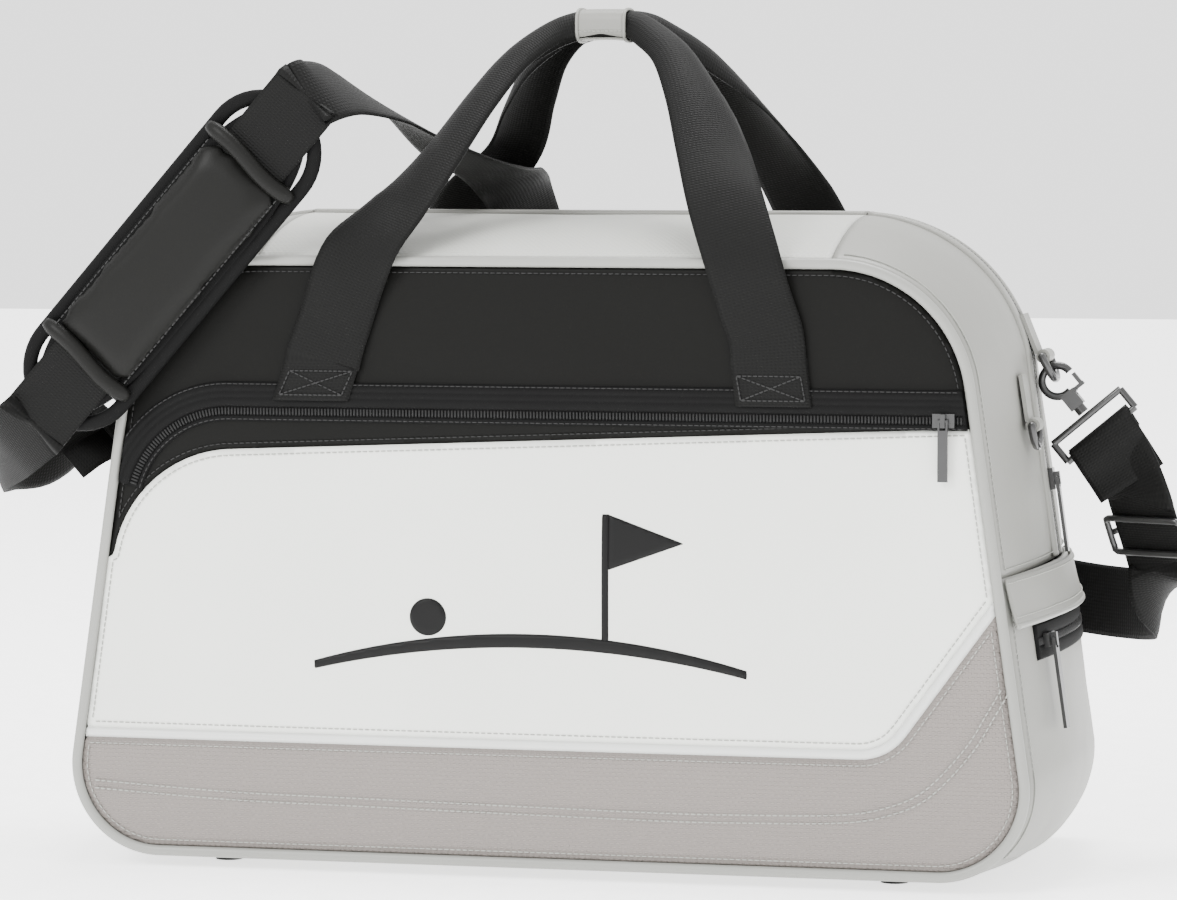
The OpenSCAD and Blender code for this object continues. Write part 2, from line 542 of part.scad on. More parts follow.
pad_t = 14;                     // thickness of the pad
strap_slot = 3.2;               // height of the passage for the strap in the pad
module at_pad() translate(pad_c) rotate([0, -pad_a, 0]) children();
module strap_pad() color([0.22, 0.22, 0.21]) at_pad() difference() {
  rotate([90, 0, 0]) translate([0, 0, -pad_t / 2]) linear_extrude(pad_t) hull()
    for (s = [-1, 1]) translate([s * (pad_l / 2 - pad_w / 2 - 2), 0]) circle(r = pad_w / 2);
  cube([2 * pad_l, strap_slot, web_w + 2], center = true);
}

// Places what is drawn with its width along X and its length along Z
module along(p, w_dir, dir) {
  x = unit(w_dir - dir * (w_dir * dir));
  y = cross(dir, x);
  multmatrix([[x[0], y[0], dir[0], p[0]], [x[1], y[1], dir[1], p[1]], [x[2], y[2], dir[2], p[2]],
    [0, 0, 0, 1]]) children();
}
module tri_glide() color([0.08, 0.08, 0.08]) along(glide_p, glide_w_dir, glide_dir) difference() {
  cube([web_w + 9, 6, 22], center = true);
  cube([web_w + 3, 3.4, 30], center = true);
}

front_panel_upper();
pocket_panel_white();
pocket_panel_lower();
pocket_trim();
emblem();
front_zip_tape();
front_zip_coil();
front_zip_slider();
front_zip_pull();
back_panel();
piping_front();
piping_rear();
gusset_right();
gusset_left();
side_pocket_right();
side_pocket_left();
side_pocket_flap();
side_zip_tape();
side_zip_slider();
side_zip_pull();
base_panel();
base_board();
feet();
lining();
top_panel_front();
top_panel_rear();
main_zip_tape_front();
main_zip_tape_rear();
main_zip_tape_sides();
main_zip_slider();
main_zip_pull();
handle_patches_front();
handle_patches_rear();
front_handle_webbing();
rear_handle_webbing();
handle_keeper();
strap_tab_right();
strap_tab_left();
accessory_tab();
strap_ring_right();
strap_ring_left();
accessory_ring();
hook_right();
hook_left();
hook_gate_right();
hook_gate_left();
strap_webbing();
tri_glide();
strap_pad();
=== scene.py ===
"""Looks of the golf shoe bag: soft panels, webbing, hardware, stitching, light and camera.

Lengths are in metres, in the CAD model's own frame. MM turns millimetres into metres.
"""
import json
import math

import bpy
import numpy as np
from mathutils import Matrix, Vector, geometry, noise


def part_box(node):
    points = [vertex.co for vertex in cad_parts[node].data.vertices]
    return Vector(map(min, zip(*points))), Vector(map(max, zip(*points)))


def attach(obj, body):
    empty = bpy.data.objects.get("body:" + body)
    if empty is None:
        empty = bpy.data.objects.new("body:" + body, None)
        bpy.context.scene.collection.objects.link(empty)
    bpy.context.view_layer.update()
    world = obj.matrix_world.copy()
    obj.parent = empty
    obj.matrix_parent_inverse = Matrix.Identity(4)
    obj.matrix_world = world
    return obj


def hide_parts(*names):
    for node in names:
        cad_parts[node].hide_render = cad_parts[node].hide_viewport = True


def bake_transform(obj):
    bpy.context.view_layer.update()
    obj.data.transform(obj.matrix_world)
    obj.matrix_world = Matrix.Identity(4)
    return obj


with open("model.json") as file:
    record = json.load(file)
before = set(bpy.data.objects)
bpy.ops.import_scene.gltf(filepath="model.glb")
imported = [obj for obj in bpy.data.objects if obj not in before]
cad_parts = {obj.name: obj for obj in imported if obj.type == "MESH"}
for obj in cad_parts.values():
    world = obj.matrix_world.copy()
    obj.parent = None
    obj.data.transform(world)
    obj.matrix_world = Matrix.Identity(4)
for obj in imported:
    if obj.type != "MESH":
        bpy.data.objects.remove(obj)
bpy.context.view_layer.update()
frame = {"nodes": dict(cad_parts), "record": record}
MM = 0.001

# ---- Camera, floor and light -----------------------------------------------------------------
CAMERA_AZIMUTH = math.radians(13.4)
CAMERA_DISTANCE = 2.604
CAMERA_HEIGHT = 0.3835
AIM_HEIGHT = 0.2106
LENS_MM = 152.9


def look_at(obj, place, target):
    obj.location = place
    obj.rotation_euler = (Vector(target) - Vector(place)).to_track_quat("-Z", "Y").to_euler()


def make_camera():
    camera = bpy.data.objects.new("camera", bpy.data.cameras.new("camera"))
    bpy.context.scene.collection.objects.link(camera)
    camera.data.lens = LENS_MM
    camera.data.sensor_width = 36
    camera.data.clip_end = 50
    place = (CAMERA_DISTANCE * math.sin(CAMERA_AZIMUTH), -CAMERA_DISTANCE * math.cos(CAMERA_AZIMUTH),
             CAMERA_HEIGHT)
    look_at(camera, place, (0, 0, AIM_HEIGHT))
    bpy.context.scene.camera = camera


def area_light(name, place, target, size, watts):
    light = bpy.data.objects.new(name, bpy.data.lights.new(name, "AREA"))
    light.data.shape = "DISK"
    light.data.size = size
    light.data.energy = watts
    bpy.context.scene.collection.objects.link(light)
    look_at(light, place, target)


def make_studio():
    area_light("key", (-1.3, -2.4, 2.0), (0, 0, 0.15), 1.2, 80)
    area_light("fill", (2.6, -0.9, 1.1), (0, 0, 0.2), 1.2, 10)
    area_light("top", (0.2, 0.5, 2.4), (0, 0, 0.2), 1.2, 66)
    world = bpy.data.worlds.new("studio")
    world.use_nodes = True
    world.node_tree.nodes["Background"].inputs["Color"].default_value = (1, 1, 1, 1)
    world.node_tree.nodes["Background"].inputs["Strength"].default_value = 2.1
    bpy.context.scene.world = world


# ---- Materials -------------------------------------------------------------------------------
class Surface:
    """A procedural material: a Principled shader with helpers that add and link nodes."""

    def __init__(self, name, color, roughness, **constant):
        self.material = bpy.data.materials.new(name)
        self.material.use_nodes = True
        self.tree = self.material.node_tree
        self.shader = self.tree.nodes["Principled BSDF"]
        self.color = color
        self.shader.inputs["Base Color"].default_value = (*color, 1)
        self.shader.inputs["Roughness"].default_value = roughness
        for socket, value in constant.items():
            self.shader.inputs[socket.replace("_", " ")].default_value = value
        self.where = self.node("ShaderNodeTexCoord").outputs["Object"]
        self.last_bump = None

    def node(self, kind, inputs=None, **settings):
        made = self.tree.nodes.new(kind)
        for key, value in settings.items():
            setattr(made, key, value)
        for key, value in (inputs or {}).items():
            if isinstance(value, bpy.types.NodeSocket):
                self.tree.links.new(value, made.inputs[key])
            else:
                made.inputs[key].default_value = value
        return made

    def math(self, operation, a, b=0.0):
        return self.node("ShaderNodeMath", {0: a, 1: b}, operation=operation).outputs[0]

    def uv(self):
        return self.node("ShaderNodeUVMap", uv_map="metric").outputs[0]

    def noise(self, scale, detail=3.0, rough=0.5, vector=None):
        made = self.node("ShaderNodeTexNoise", {"Vector": vector or self.where, "Scale": scale,
                                                "Detail": detail, "Roughness": rough})
        return made.outputs[0]

    def cells(self, scale, feature="F1", vector=None):
        return self.node("ShaderNodeTexVoronoi", {"Vector": vector or self.where, "Scale": scale},
                         feature=feature).outputs["Distance"]

    def remap(self, value, low, high, to_low, to_high):
        return self.node("ShaderNodeMapRange", {"Value": value, "From Min": low, "From Max": high,
                                                "To Min": to_low, "To Max": to_high}).outputs[0]

    def bump(self, height, depth, strength=1.0):
        inputs = {"Height": height, "Distance": depth, "Strength": strength}
        if self.last_bump:
            inputs["Normal"] = self.last_bump
        self.last_bump = self.node("ShaderNodeBump", inputs).outputs[0]
        self.tree.links.new(self.last_bump, self.shader.inputs["Normal"])

    def tint(self, value, darker, lighter):
        """Varies the colour between two brightness factors as value goes from 0 to 1."""
        ramp = self.node("ShaderNodeValToRGB", {"Fac": value})
        ramp.color_ramp.elements[0].color = (*(c * darker for c in self.color), 1)
        ramp.color_ramp.elements[1].color = (*(min(1, c * lighter) for c in self.color), 1)
        self.tree.links.new(ramp.outputs[0], self.shader.inputs["Base Color"])

    def rough(self, value, low, high):
        self.tree.links.new(self.remap(value, 0, 1, low, high), self.shader.inputs["Roughness"])


def synthetic_leather(name, color, roughness, grain=900.0, depth=0.12, specular=0.5):
    """Coated fabric: fine pebbled grain, faint mottling and slightly uneven gloss."""
    s = Surface(name, color, roughness, Specular_IOR_Level=specular)
    s.tint(s.noise(9, 4), 0.93, 1.06)
    s.rough(s.noise(25, 3), roughness - 0.06, roughness + 0.07)
    s.bump(s.cells(grain, "SMOOTH_F1"), depth * MM, 0.55)
    s.bump(s.noise(grain * 2.2, 2), depth * 0.5 * MM, 0.35)
    s.bump(s.noise(38, 3), 0.9 * MM, 0.18)
    return s.material


def dash_mask(s, across, along):
    """1 inside short staggered dashes, 0 between them."""
    row = s.math("DIVIDE", along, 2.1 * MM)
    shift = s.math("MULTIPLY", s.math("MODULO", s.math("FLOOR", row), 2.0), 0.5)
    column = s.math("ADD", s.math("DIVIDE", across, 3.0 * MM), shift)
    dx = s.math("ABSOLUTE", s.math("SUBTRACT", s.math("FRACT", column), 0.5))
    dz = s.math("ABSOLUTE", s.math("SUBTRACT", s.math("FRACT", row), 0.5))
    return s.math("MULTIPLY", s.remap(dx, 0.36, 0.24, 0, 1), s.remap(dz, 0.3, 0.15, 0, 1))


def embossed_leather(name, color):
    """Warm grey coated fabric, pressed with rows of short staggered dashes, painted lighter on the raised
    dashes as a highlight, over random tone.
    """
    s = Surface(name, color, 0.5)
    split = s.node("ShaderNodeSeparateXYZ", {0: s.where})
    dashes = dash_mask(s, s.math("ADD", split.outputs["X"], 2.0), split.outputs["Z"])
    # shade mixes a painted highlight on the raised dashes (0.7) with random tone from noise (0.3).
    shade = s.math("ADD", s.math("MULTIPLY", dashes, 0.7), s.math("MULTIPLY", s.noise(12, 3), 0.3))
    s.tint(shade, 0.86, 1.05)
    s.bump(dashes, 0.45 * MM, 0.9)
    s.bump(s.cells(1500), 0.08 * MM, 0.3)
    s.rough(dashes, 0.58, 0.46)
    return s.material


def hatched_leather(name, color):
    """Light grey coated fabric with the same dashes pressed faintly into it."""
    s = Surface(name, color, 0.48)
    split = s.node("ShaderNodeSeparateXYZ", {0: s.where})
    dashes = dash_mask(s, *(s.math("ADD", split.outputs[axis], 2.0) for axis in "XY"))
    s.tint(s.noise(9, 4), 0.93, 1.06)
    s.bump(dashes, 0.3 * MM, 0.7)
    s.bump(s.cells(1500), 0.08 * MM, 0.3)
    return s.material


def webbing(name, color):
    """Woven tape: ribs across its length with a twill of yarns, painted darker in their grooves and lighter on
    their crests as shade and highlight, and a soft sheen.
    """
    s = Surface(name, color, 0.62, Sheen_Weight=0.01, Sheen_Roughness=0.4, Specular_IOR_Level=0.1)
    split = s.node("ShaderNodeSeparateXYZ", {0: s.uv()})
    u, v = split.outputs["X"], split.outputs["Y"]
    rib = s.math("SINE", s.math("MULTIPLY", v, 2 * math.pi / (1.5 * MM)))
    yarn = s.math("SINE", s.math("MULTIPLY", u, 2 * math.pi / (1.9 * MM)))
    twill = s.math("SINE", s.math("MULTIPLY", s.math("ADD", u, s.math("MULTIPLY", v, 1.3)),
                                  2 * math.pi / (2.4 * MM)))
    weave = s.math("ADD", s.math("MULTIPLY", rib, 0.5), s.math("MULTIPLY", s.math("ADD", yarn, twill), 0.3))
    # The colour follows the weave's relief: painted shade in the grooves and painted highlight on the crests.
    s.tint(s.remap(weave, -1.1, 1.1, 0, 1), 0.7, 1.35)
    s.bump(weave, 0.16 * MM, 0.7)
    s.bump(s.noise(1400, 2), 0.06 * MM, 0.4)
    return s.material


def lacquered_metal(name, color, roughness=0.28):
    """Black lacquer over cast metal, with faint orange peel."""
    s = Surface(name, color, roughness, Metallic=0.35, Coat_Weight=0.5, Coat_Roughness=0.15)
    s.tint(s.noise(120, 2), 0.8, 1.3)
    s.rough(s.noise(300, 3), roughness - 0.05, roughness + 0.1)
    s.bump(s.noise(700, 2), 0.03 * MM, 0.3)
    return s.material


def plain_cloth(name, color, pitch=1.0, roughness=0.75):
    """Fine woven cloth seen from a distance."""
    s = Surface(name, color, roughness, Specular_IOR_Level=0.1)
    s.tint(s.noise(40, 3), 0.85, 1.12)
    s.bump(s.node("ShaderNodeTexWave", {"Vector": s.where, "Scale": 0.31 / (pitch * MM), "Distortion": 1.5},
                  bands_direction="DIAGONAL").outputs["Fac"], 0.12 * MM, 0.5)
    return s.material


def moulded(name, color, roughness=0.5):
    """Moulded plastic, rubber or film."""
    s = Surface(name, color, roughness, Specular_IOR_Level=0.15)
    s.tint(s.noise(60, 2), 0.88, 1.1)
    s.rough(s.noise(200, 2), roughness - 0.05, roughness + 0.05)
    s.bump(s.noise(1100, 2), 0.04 * MM, 0.4)
    return s.material


BLACK = synthetic_leather("pu_black", (0.003, 0.003, 0.0026), 0.5, 1100, 0.07, specular=0.09)
WHITE = synthetic_leather("pu_white", (0.74, 0.755, 0.71), 0.42, 1300, 0.05)
LIGHT_GREY = synthetic_leather("pu_light_grey", (0.2, 0.2, 0.183), 0.46, 1000, 0.1)
HATCHED = hatched_leather("pu_hatched_grey", (0.44, 0.445, 0.415))
EMBOSSED = embossed_leather("pu_embossed_grey", (0.2, 0.178, 0.163))
PIPING = synthetic_leather("piping_grey", (0.24, 0.242, 0.225), 0.42, 1400, 0.06)
TRIM = synthetic_leather("trim_silver", (0.6, 0.61, 0.59), 0.3, 1500, 0.04)
PAD_BLACK = synthetic_leather("pad_black", (0.005, 0.005, 0.0045), 0.42, 1000, 0.08, specular=0.12)
BINDING = plain_cloth("binding_black", (0.003, 0.003, 0.003), 0.8)
WEBBING = webbing("webbing_black", (0.004, 0.004, 0.0038))
HARDWARE = lacquered_metal("hardware_black", (0.018, 0.018, 0.018))
FILM = moulded("film_black", (0.003, 0.003, 0.003), 0.45)
COIL = moulded("zip_coil", (0.012, 0.012, 0.012), 0.4)
TAPE = plain_cloth("zip_tape", (0.004, 0.004, 0.004), 0.7)
LINING = plain_cloth("lining", (0.10, 0.10, 0.11), 0.9)
BOARD = moulded("board", (0.05, 0.05, 0.05), 0.6)
RUBBER = moulded("foot_rubber", (0.02, 0.02, 0.02), 0.7)
THREAD_GREY = plain_cloth("thread_grey", (0.33, 0.335, 0.31), 0.4)
THREAD_BLACK = plain_cloth("thread_black", (0.03, 0.03, 0.03), 0.4)
FLOOR = moulded("floor", (0.93, 0.93, 0.93), 0.85)
FLOOR.node_tree.nodes["Principled BSDF"].inputs["Emission Color"].default_value = (1, 1, 1, 1)
FLOOR.node_tree.nodes["Principled BSDF"].inputs["Emission Strength"].default_value = 1.8


# ---- Making pieces ---------------------------------------------------------------------------
FORWARD = np.array([0, -1.0, 0])


def piece(name, verts, faces, material, body, slot, replaces=(), uvs=None, smooth=True):
    """A mesh object that rides on a body, unless body is None.

    uvs has a metric coordinate pair for each vertex, or names the two axes that give one.
    """
    mesh = bpy.data.meshes.new(name)
    mesh.from_pydata([tuple(map(float, v)) for v in verts], [], [tuple(map(int, f)) for f in faces])
    mesh.validate()
    mesh.update()
    if smooth:
        mesh.polygons.foreach_set("use_smooth", [True] * len(mesh.polygons))
    if isinstance(uvs, tuple):
        uvs = [(v[uvs[0]], v[uvs[1]]) for v in verts]
    if uvs is not None:
        layer = mesh.uv_layers.new(name="metric")
        corners = np.empty(len(mesh.loops), dtype=np.int32)
        mesh.loops.foreach_get("vertex_index", corners)
        layer.data.foreach_set("uv", np.asarray(uvs, dtype=np.float32)[corners].ravel())
    obj = bpy.data.objects.new(name, mesh)
    bpy.context.scene.collection.objects.link(obj)
    obj.data.materials.append(material)
    if body:
        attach(obj, body)
    if replaces:
        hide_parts(*replaces)
    return obj


def sheet_mesh(outer, inner):
    """Closed mesh between two grids of points, each n by m by 3."""
    n, m = outer.shape[:2]
    verts = np.concatenate([outer.reshape(-1, 3), inner.reshape(-1, 3)])
    under = n * m
    faces = []
    for i in range(n - 1):
        for j in range(m - 1):
            a = i * m + j
            faces.append((a, a + m, a + m + 1, a + 1))
            faces.append((under + a, under + a + 1, under + a + m + 1, under + a + m))
    for i in range(n - 1):
        a, b = i * m, i * m + m - 1
        faces.append((a, under + a, under + a + m, a + m))
        faces.append((b, b + m, under + b + m, under + b))
    for j in range(m - 1):
        a, b = j, (n - 1) * m + j
        faces.append((a, a + 1, under + a + 1, under + a))
        faces.append((b, under + b, under + b + 1, b + 1))
    return verts, faces


def join_meshes(parts):
    """Vertices and faces of several meshes as one."""
    verts, faces, start = [], [], 0
    for v, f in parts:
        verts.extend(v)
        faces.extend(tuple(i + start for i in face) for face in f)
        start += len(v)
    return verts, faces


def unit_rows(rows):
    return rows / np.linalg.norm(rows, axis=1)[:, None]


def directions(points):
    """Unit vectors along a polyline."""
    return unit_rows(np.gradient(points, axis=0))


def tube(points, radius, sides=8, closed=False, flat=1.0, ups=None):
    """A round or flattened tube along points. flat scales its thickness along the up directions."""
    p = np.asarray(points, dtype=float)
    n = len(p)
    along = unit_rows(np.roll(p, -1, 0) - np.roll(p, 1, 0)) if closed else directions(p)
    up = np.array([0.0, 0, 1]) if abs(along[0][2]) < 0.9 else np.array([1.0, 0, 0])
    if ups is not None:
        ups = np.broadcast_to(ups, p.shape)
    verts, faces = [], []
    for i in range(n):
        if ups is not None:
            up = ups[i]
        side = np.cross(along[i], up)
        side /= np.linalg.norm(side)
        up = np.cross(side, along[i])
        r = radius[i] if np.ndim(radius) else radius
        for k in range(sides):
            a = 2 * math.pi * k / sides
            verts.append(p[i] + r * (math.cos(a) * side + flat * math.sin(a) * up))
    rings = n if closed else n - 1
    for i in range(rings):
        for k in range(sides):
            a, b = i * sides + k, i * sides + (k + 1) % sides
            c, d = (a + sides) % (n * sides), (b + sides) % (n * sides)
            faces.append((a, b, d, c))
    if not closed:
        faces.append(tuple(range(sides - 1, -1, -1)))
        faces.append(tuple((n - 1) * sides + k for k in range(sides)))
    return verts, faces


def resample(points, step):
    """Points along a polyline at an even spacing near step."""
    p = np.asarray(points, dtype=float)
    lengths = np.concatenate([[0], np.cumsum(np.linalg.norm(np.diff(p, axis=0), axis=1))])
    count = max(2, int(round(lengths[-1] / step)) + 1)
    at = np.linspace(0, lengths[-1], count)
    return np.stack([np.interp(at, lengths, p[:, k]) for k in range(p.shape[1])], axis=1)


def stitches(name, lines, normals, material, body, slot, pitch=3.2 * MM, length=2.4 * MM, radius=0.35 * MM):
    """Rows of stitches: short rounded threads that dive into the surface at both ends."""
    parts = []
    for line, normal in zip(lines, normals):
        both = np.concatenate([np.asarray(line, float), np.broadcast_to(normal, np.shape(line))], axis=1)
        run = resample(both, pitch)
        for a, b in zip(run[:-1], run[1:]):
            middle, along = (a[:3] + b[:3]) / 2, b[:3] - a[:3]
            along = along / np.linalg.norm(along) * length / 2
            out = a[3:] / np.linalg.norm(a[3:])
            arch = [middle - along - out * radius, middle - along * 0.7 + out * radius * 0.5,
                    middle + out * radius * 0.8, middle + along * 0.7 + out * radius * 0.5,
                    middle + along - out * radius]
            thick = [radius * 0.5, radius * 0.95, radius, radius * 0.95, radius * 0.5]
            parts.append(tube(arch, thick, 6))
    verts, faces = join_meshes(parts)
    return piece(name, verts, faces, material, body, slot)


def drift(points, scale, seed):
    """Smooth noise in -1..1 for each point, repeatable from its seed."""
    shift = Vector((seed * 7.3, seed * 3.1, seed * 5.7))
    flat = np.asarray(points).reshape(-1, 3)
    values = [noise.noise(Vector(p) * scale + shift) for p in flat]
    return np.array(values).reshape(np.asarray(points).shape[:-1])


# ---- The outline of the body -----------------------------------------------------------------
SIDES = ((1, "right"), (-1, "left"))
MIRROR = np.array([-1, 1, 1])
SKIN = 2.2 * MM
HALF_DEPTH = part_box("back_panel")[1][1]
FOOT_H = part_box("feet")[1][2]
TOP_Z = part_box("piping_front")[1][2]
LOW_R, TOP_R = 46 * MM, 72.5 * MM
LOW_C = np.array([202 * MM, FOOT_H + LOW_R])
TOP_C = np.array([148 * MM, TOP_Z - TOP_R])
PIPE_W = 5 * MM
SEAM_Z = 157 * MM
EDGE_Y = HALF_DEPTH - 3 * MM
SPAN = TOP_C - LOW_C
SIDE_ANGLE = math.atan2(SPAN[1], SPAN[0]) - math.acos((LOW_R - TOP_R) / np.linalg.norm(SPAN))


def trace_outline():
    """Half of the outline from the bottom middle to the top middle: x, z, normal x, normal z."""
    rows = [(x, FOOT_H, 0, -1) for x in np.arange(0, LOW_C[0], MM)]
    for a in np.linspace(-math.pi / 2, SIDE_ANGLE, 80):
        rows.append((*(LOW_C + LOW_R * np.array([math.cos(a), math.sin(a)])), math.cos(a), math.sin(a)))
    start = np.array(rows[-1][:2])
    end = TOP_C + TOP_R * np.array([math.cos(SIDE_ANGLE), math.sin(SIDE_ANGLE)])
    for t in np.linspace(0, 1, 180)[1:-1]:
        rows.append((*(start + (end - start) * t), math.cos(SIDE_ANGLE), math.sin(SIDE_ANGLE)))
    for a in np.linspace(SIDE_ANGLE, math.pi / 2, 110):
        rows.append((*(TOP_C + TOP_R * np.array([math.cos(a), math.sin(a)])), math.cos(a), math.sin(a)))
    rows += [(x, TOP_Z, 0, 1) for x in np.arange(TOP_C[0] - MM, -MM / 2, -MM)]
    rows = np.array(rows)
    lengths = np.concatenate([[0], np.cumsum(np.linalg.norm(np.diff(rows[:, :2], axis=0), axis=1))])
    return lengths, rows


OUT_S, OUT_ROWS = trace_outline()


def outline_at(s):
    """x, z, nx, nz of the outline at arc lengths s from the bottom middle."""
    return np.stack([np.interp(s, OUT_S, OUT_ROWS[:, k]) for k in range(4)], axis=-1)


def s_at_height(z):
    """Arc length where the side of the outline reaches height z."""
    side = OUT_ROWS[:, 0] > 0.12
    return float(np.interp(z, OUT_ROWS[side, 1], OUT_S[side]))


def s_at_angle(center, radius, degrees):
    a = math.radians(degrees)
    p = center + radius * np.array([math.cos(a), math.sin(a)])
    return float(OUT_S[np.argmin(np.linalg.norm(OUT_ROWS[:, :2] - p, axis=1))])


S_CORNER = s_at_angle(LOW_C, LOW_R, -50)
S_SIDE = s_at_angle(LOW_C, LOW_R, math.degrees(SIDE_ANGLE))
S_SEAM = s_at_height(SEAM_Z)
S_SHOULDER = s_at_angle(TOP_C, TOP_R, math.degrees(SIDE_ANGLE))
S_TOP = float(OUT_S[np.argmin(np.linalg.norm(OUT_ROWS[:, :2] - [TOP_C[0], TOP_Z], axis=1))])
S_END = float(OUT_S[-1])
S_BASE = s_at_angle(LOW_C, LOW_R, -90)


def crown(s, pocket):
    """How far the gusset bulges at its middle, as it goes round the outline."""
    if pocket:
        keys = [(0, 0), (S_BASE, 0), (S_CORNER, 8.8 * MM), (S_SIDE, 16 * MM), (S_END, 16 * MM)]
    else:
        keys = [(0, 12 * MM), (S_SHOULDER, 12 * MM), (S_TOP, 20 * MM), (S_END, 20 * MM)]
    return np.interp(s, [k[0] for k in keys], [k[1] for k in keys])


def bulge(y):
    return 1 - (y / HALF_DEPTH) ** 2


def strip_points(s, y, lift, pocket, side=1):
    """Points of the crowned surface over a grid of s and y, lifted along its outward normal."""
    base = outline_at(s)[:, None, :]
    out = crown(s, pocket)[:, None] * bulge(y)[None, :] + lift
    x = (base[..., 0] + base[..., 2] * out) * side
    z = base[..., 1] + base[..., 3] * out
    return np.stack([x, np.broadcast_to(y[None, :], x.shape), z], axis=-1)


def seam_dip(distance, depth, reach):
    """How far a padded panel sinks near a seam."""
    return -depth * np.exp(-np.maximum(distance, 0) / reach)


def outline_normals(s, side):
    base = outline_at(s)
    return np.stack([side * base[:, 2], 0 * s, base[:, 3]], axis=1)


def mirrored(half):
    """A grid from one end to the middle, carried on to the other end."""
    return np.concatenate([half, (half[::-1] * MIRROR)[1:]])


def strip_piece(name, s, y, top, under, pocket, side, material, slot, replaces=(), uvs=None):
    """A sheet on the crowned surface, between two lifts."""
    outer, inner = (strip_points(s, y, lift, pocket, side) for lift in (top, under))
    if side < 0:
        outer, inner = outer[::-1], inner[::-1]
    return piece(name, *sheet_mesh(outer, inner), material, "shell", slot, replaces, uvs)


def skin(name, s0, s1, pocket, side, replaces, dips, seed):
    """One sewn panel of the gusset. dips says which of its four edges (s0, s1, y0, y1) sink."""
    wrinkle, dip, step = 0.5 * MM, 1.1 * MM, 3 * MM
    s = np.linspace(s0, s1, max(6, int((s1 - s0) / step)))
    y = np.linspace(-EDGE_Y, EDGE_Y, max(6, int(2 * EDGE_Y / step)))
    sink = np.zeros((len(s), len(y)))
    gaps = (s[:, None] - s0, s1 - s[:, None], y[None, :] + EDGE_Y, EDGE_Y - y[None, :])
    for wanted, gap in zip(dips, gaps):
        if wanted:
            sink = sink + seam_dip(gap + 0 * sink, dip, 3.2 * MM)
    flat = strip_points(s, y, 0, pocket, side)
    sink += wrinkle * (0.7 * drift(flat, 22, seed) + 0.3 * drift(flat, 70, seed + 9) - 0.45)
    return strip_piece(name, s, y, sink, sink - SKIN, pocket, side, LIGHT_GREY, "pu_light_grey", replaces)


def make_gussets():
    for side, word in SIDES:
        skin(f"soft_gusset_{word}", S_SEAM, S_TOP, False, side, [f"gusset_{word}"], (1, 0, 1, 1), 3 + side)
        skin(f"soft_side_pocket_{word}", S_CORNER, S_SEAM, True, side, [f"side_pocket_{word}"], (1, 1, 1, 1),
             6 + side)


def make_base():
    s = np.linspace(S_CORNER, 0, 60)
    ys = np.linspace(-EDGE_Y, EDGE_Y, 60)
    whole = mirrored(strip_points(s, ys, seam_dip(S_CORNER - s[:, None], 1.0 * MM, 3 * MM), True))
    piece("soft_base", *sheet_mesh(whole, whole + [0, 0, SKIN]), LIGHT_GREY, "shell", "pu_light_grey",
          ["base_panel"])


def make_top():
    gap, half_zip = 0.4 * MM, 3.5 * MM
    hinge_y, zip_y = EDGE_Y - gap, 10 * MM
    for word, y0, y1, seed in (("front", -hinge_y, zip_y - half_zip, 2),
                               ("rear", zip_y + half_zip, hinge_y, 4)):
        s = np.linspace(S_TOP + gap, S_END, 50)
        ys = np.linspace(y0, y1, 34)
        sink = seam_dip(ys - y0 if word == "front" else y1 - ys, 1.0 * MM, 3 * MM)
        whole = mirrored(strip_points(s, ys, sink, False))
        whole[..., 2] += 0.5 * MM * (drift(whole, 16, seed) - 0.5)
        piece(f"soft_top_{word}", *sheet_mesh(whole, whole - [0, 0, SKIN]), HATCHED, f"top_flap_{word}",
              "pu_light_grey", [f"top_panel_{word}"])


# ---- Face panels ---------------------------------------------------------------------------
def face_loop(node, y):
    """The outline of a flat CAD panel in the plane at y, as an ordered list of (x, z)."""
    mesh = frame["nodes"][node].data
    used = {}
    places = [tuple(round(c, 5) for c in v.co) for v in mesh.vertices]
    for face in mesh.polygons:
        corners = [places[i] for i in face.vertices]
        if all(abs(c[1] - y) < 2e-5 for c in corners):
            for a, b in zip(corners, corners[1:] + corners[:1]):
                a, b = (a[0], a[2]), (b[0], b[2])
                if (b, a) in used:
                    del used[(b, a)]
                elif a != b:
                    used[(a, b)] = True
    keys = dict(used.keys())
    start = max(keys, key=lambda p: p[0])
    loop, at = [start], keys[start]
    while at != start:
        loop.append(at)
        at = keys[at]
    return np.array(loop)


def loop_distance(points, loop):
    """Distance of each point to a closed loop."""
    best = np.full(len(points), 1e9)
    for a, b in zip(loop, np.roll(loop, -1, 0)):
        ab = b - a
        t = np.clip(((points - a) @ ab) / max(ab @ ab, 1e-12), 0, 1)
        best = np.minimum(best, np.linalg.norm(points - (a + t[:, None] * ab), axis=1))
    return best


def inside(points, loop):
    hit = np.zeros(len(points), bool)
    for a, b in zip(loop, np.roll(loop, -1, 0)):
        crosses = (a[1] > points[:, 1]) != (b[1] > points[:, 1])
        with np.errstate(divide="ignore", invalid="ignore"):
            x = a[0] + (points[:, 1] - a[1]) * (b[0] - a[0]) / (b[1] - a[1])
        hit ^= crosses & (points[:, 0] < x)
    return hit


def belly(x, z):
    """How far the filled front pocket stands out of the flat face."""
    across = np.clip(1 - (x / 0.235) ** 2, 0, 1)
    up = np.clip((z - 0.02) / 0.12, 0, 1) * np.clip((0.226 - z) / 0.07, 0, 1)
    return 4.5 * MM * across ** 0.8 * np.sin(up * math.pi / 2) ** 1.2


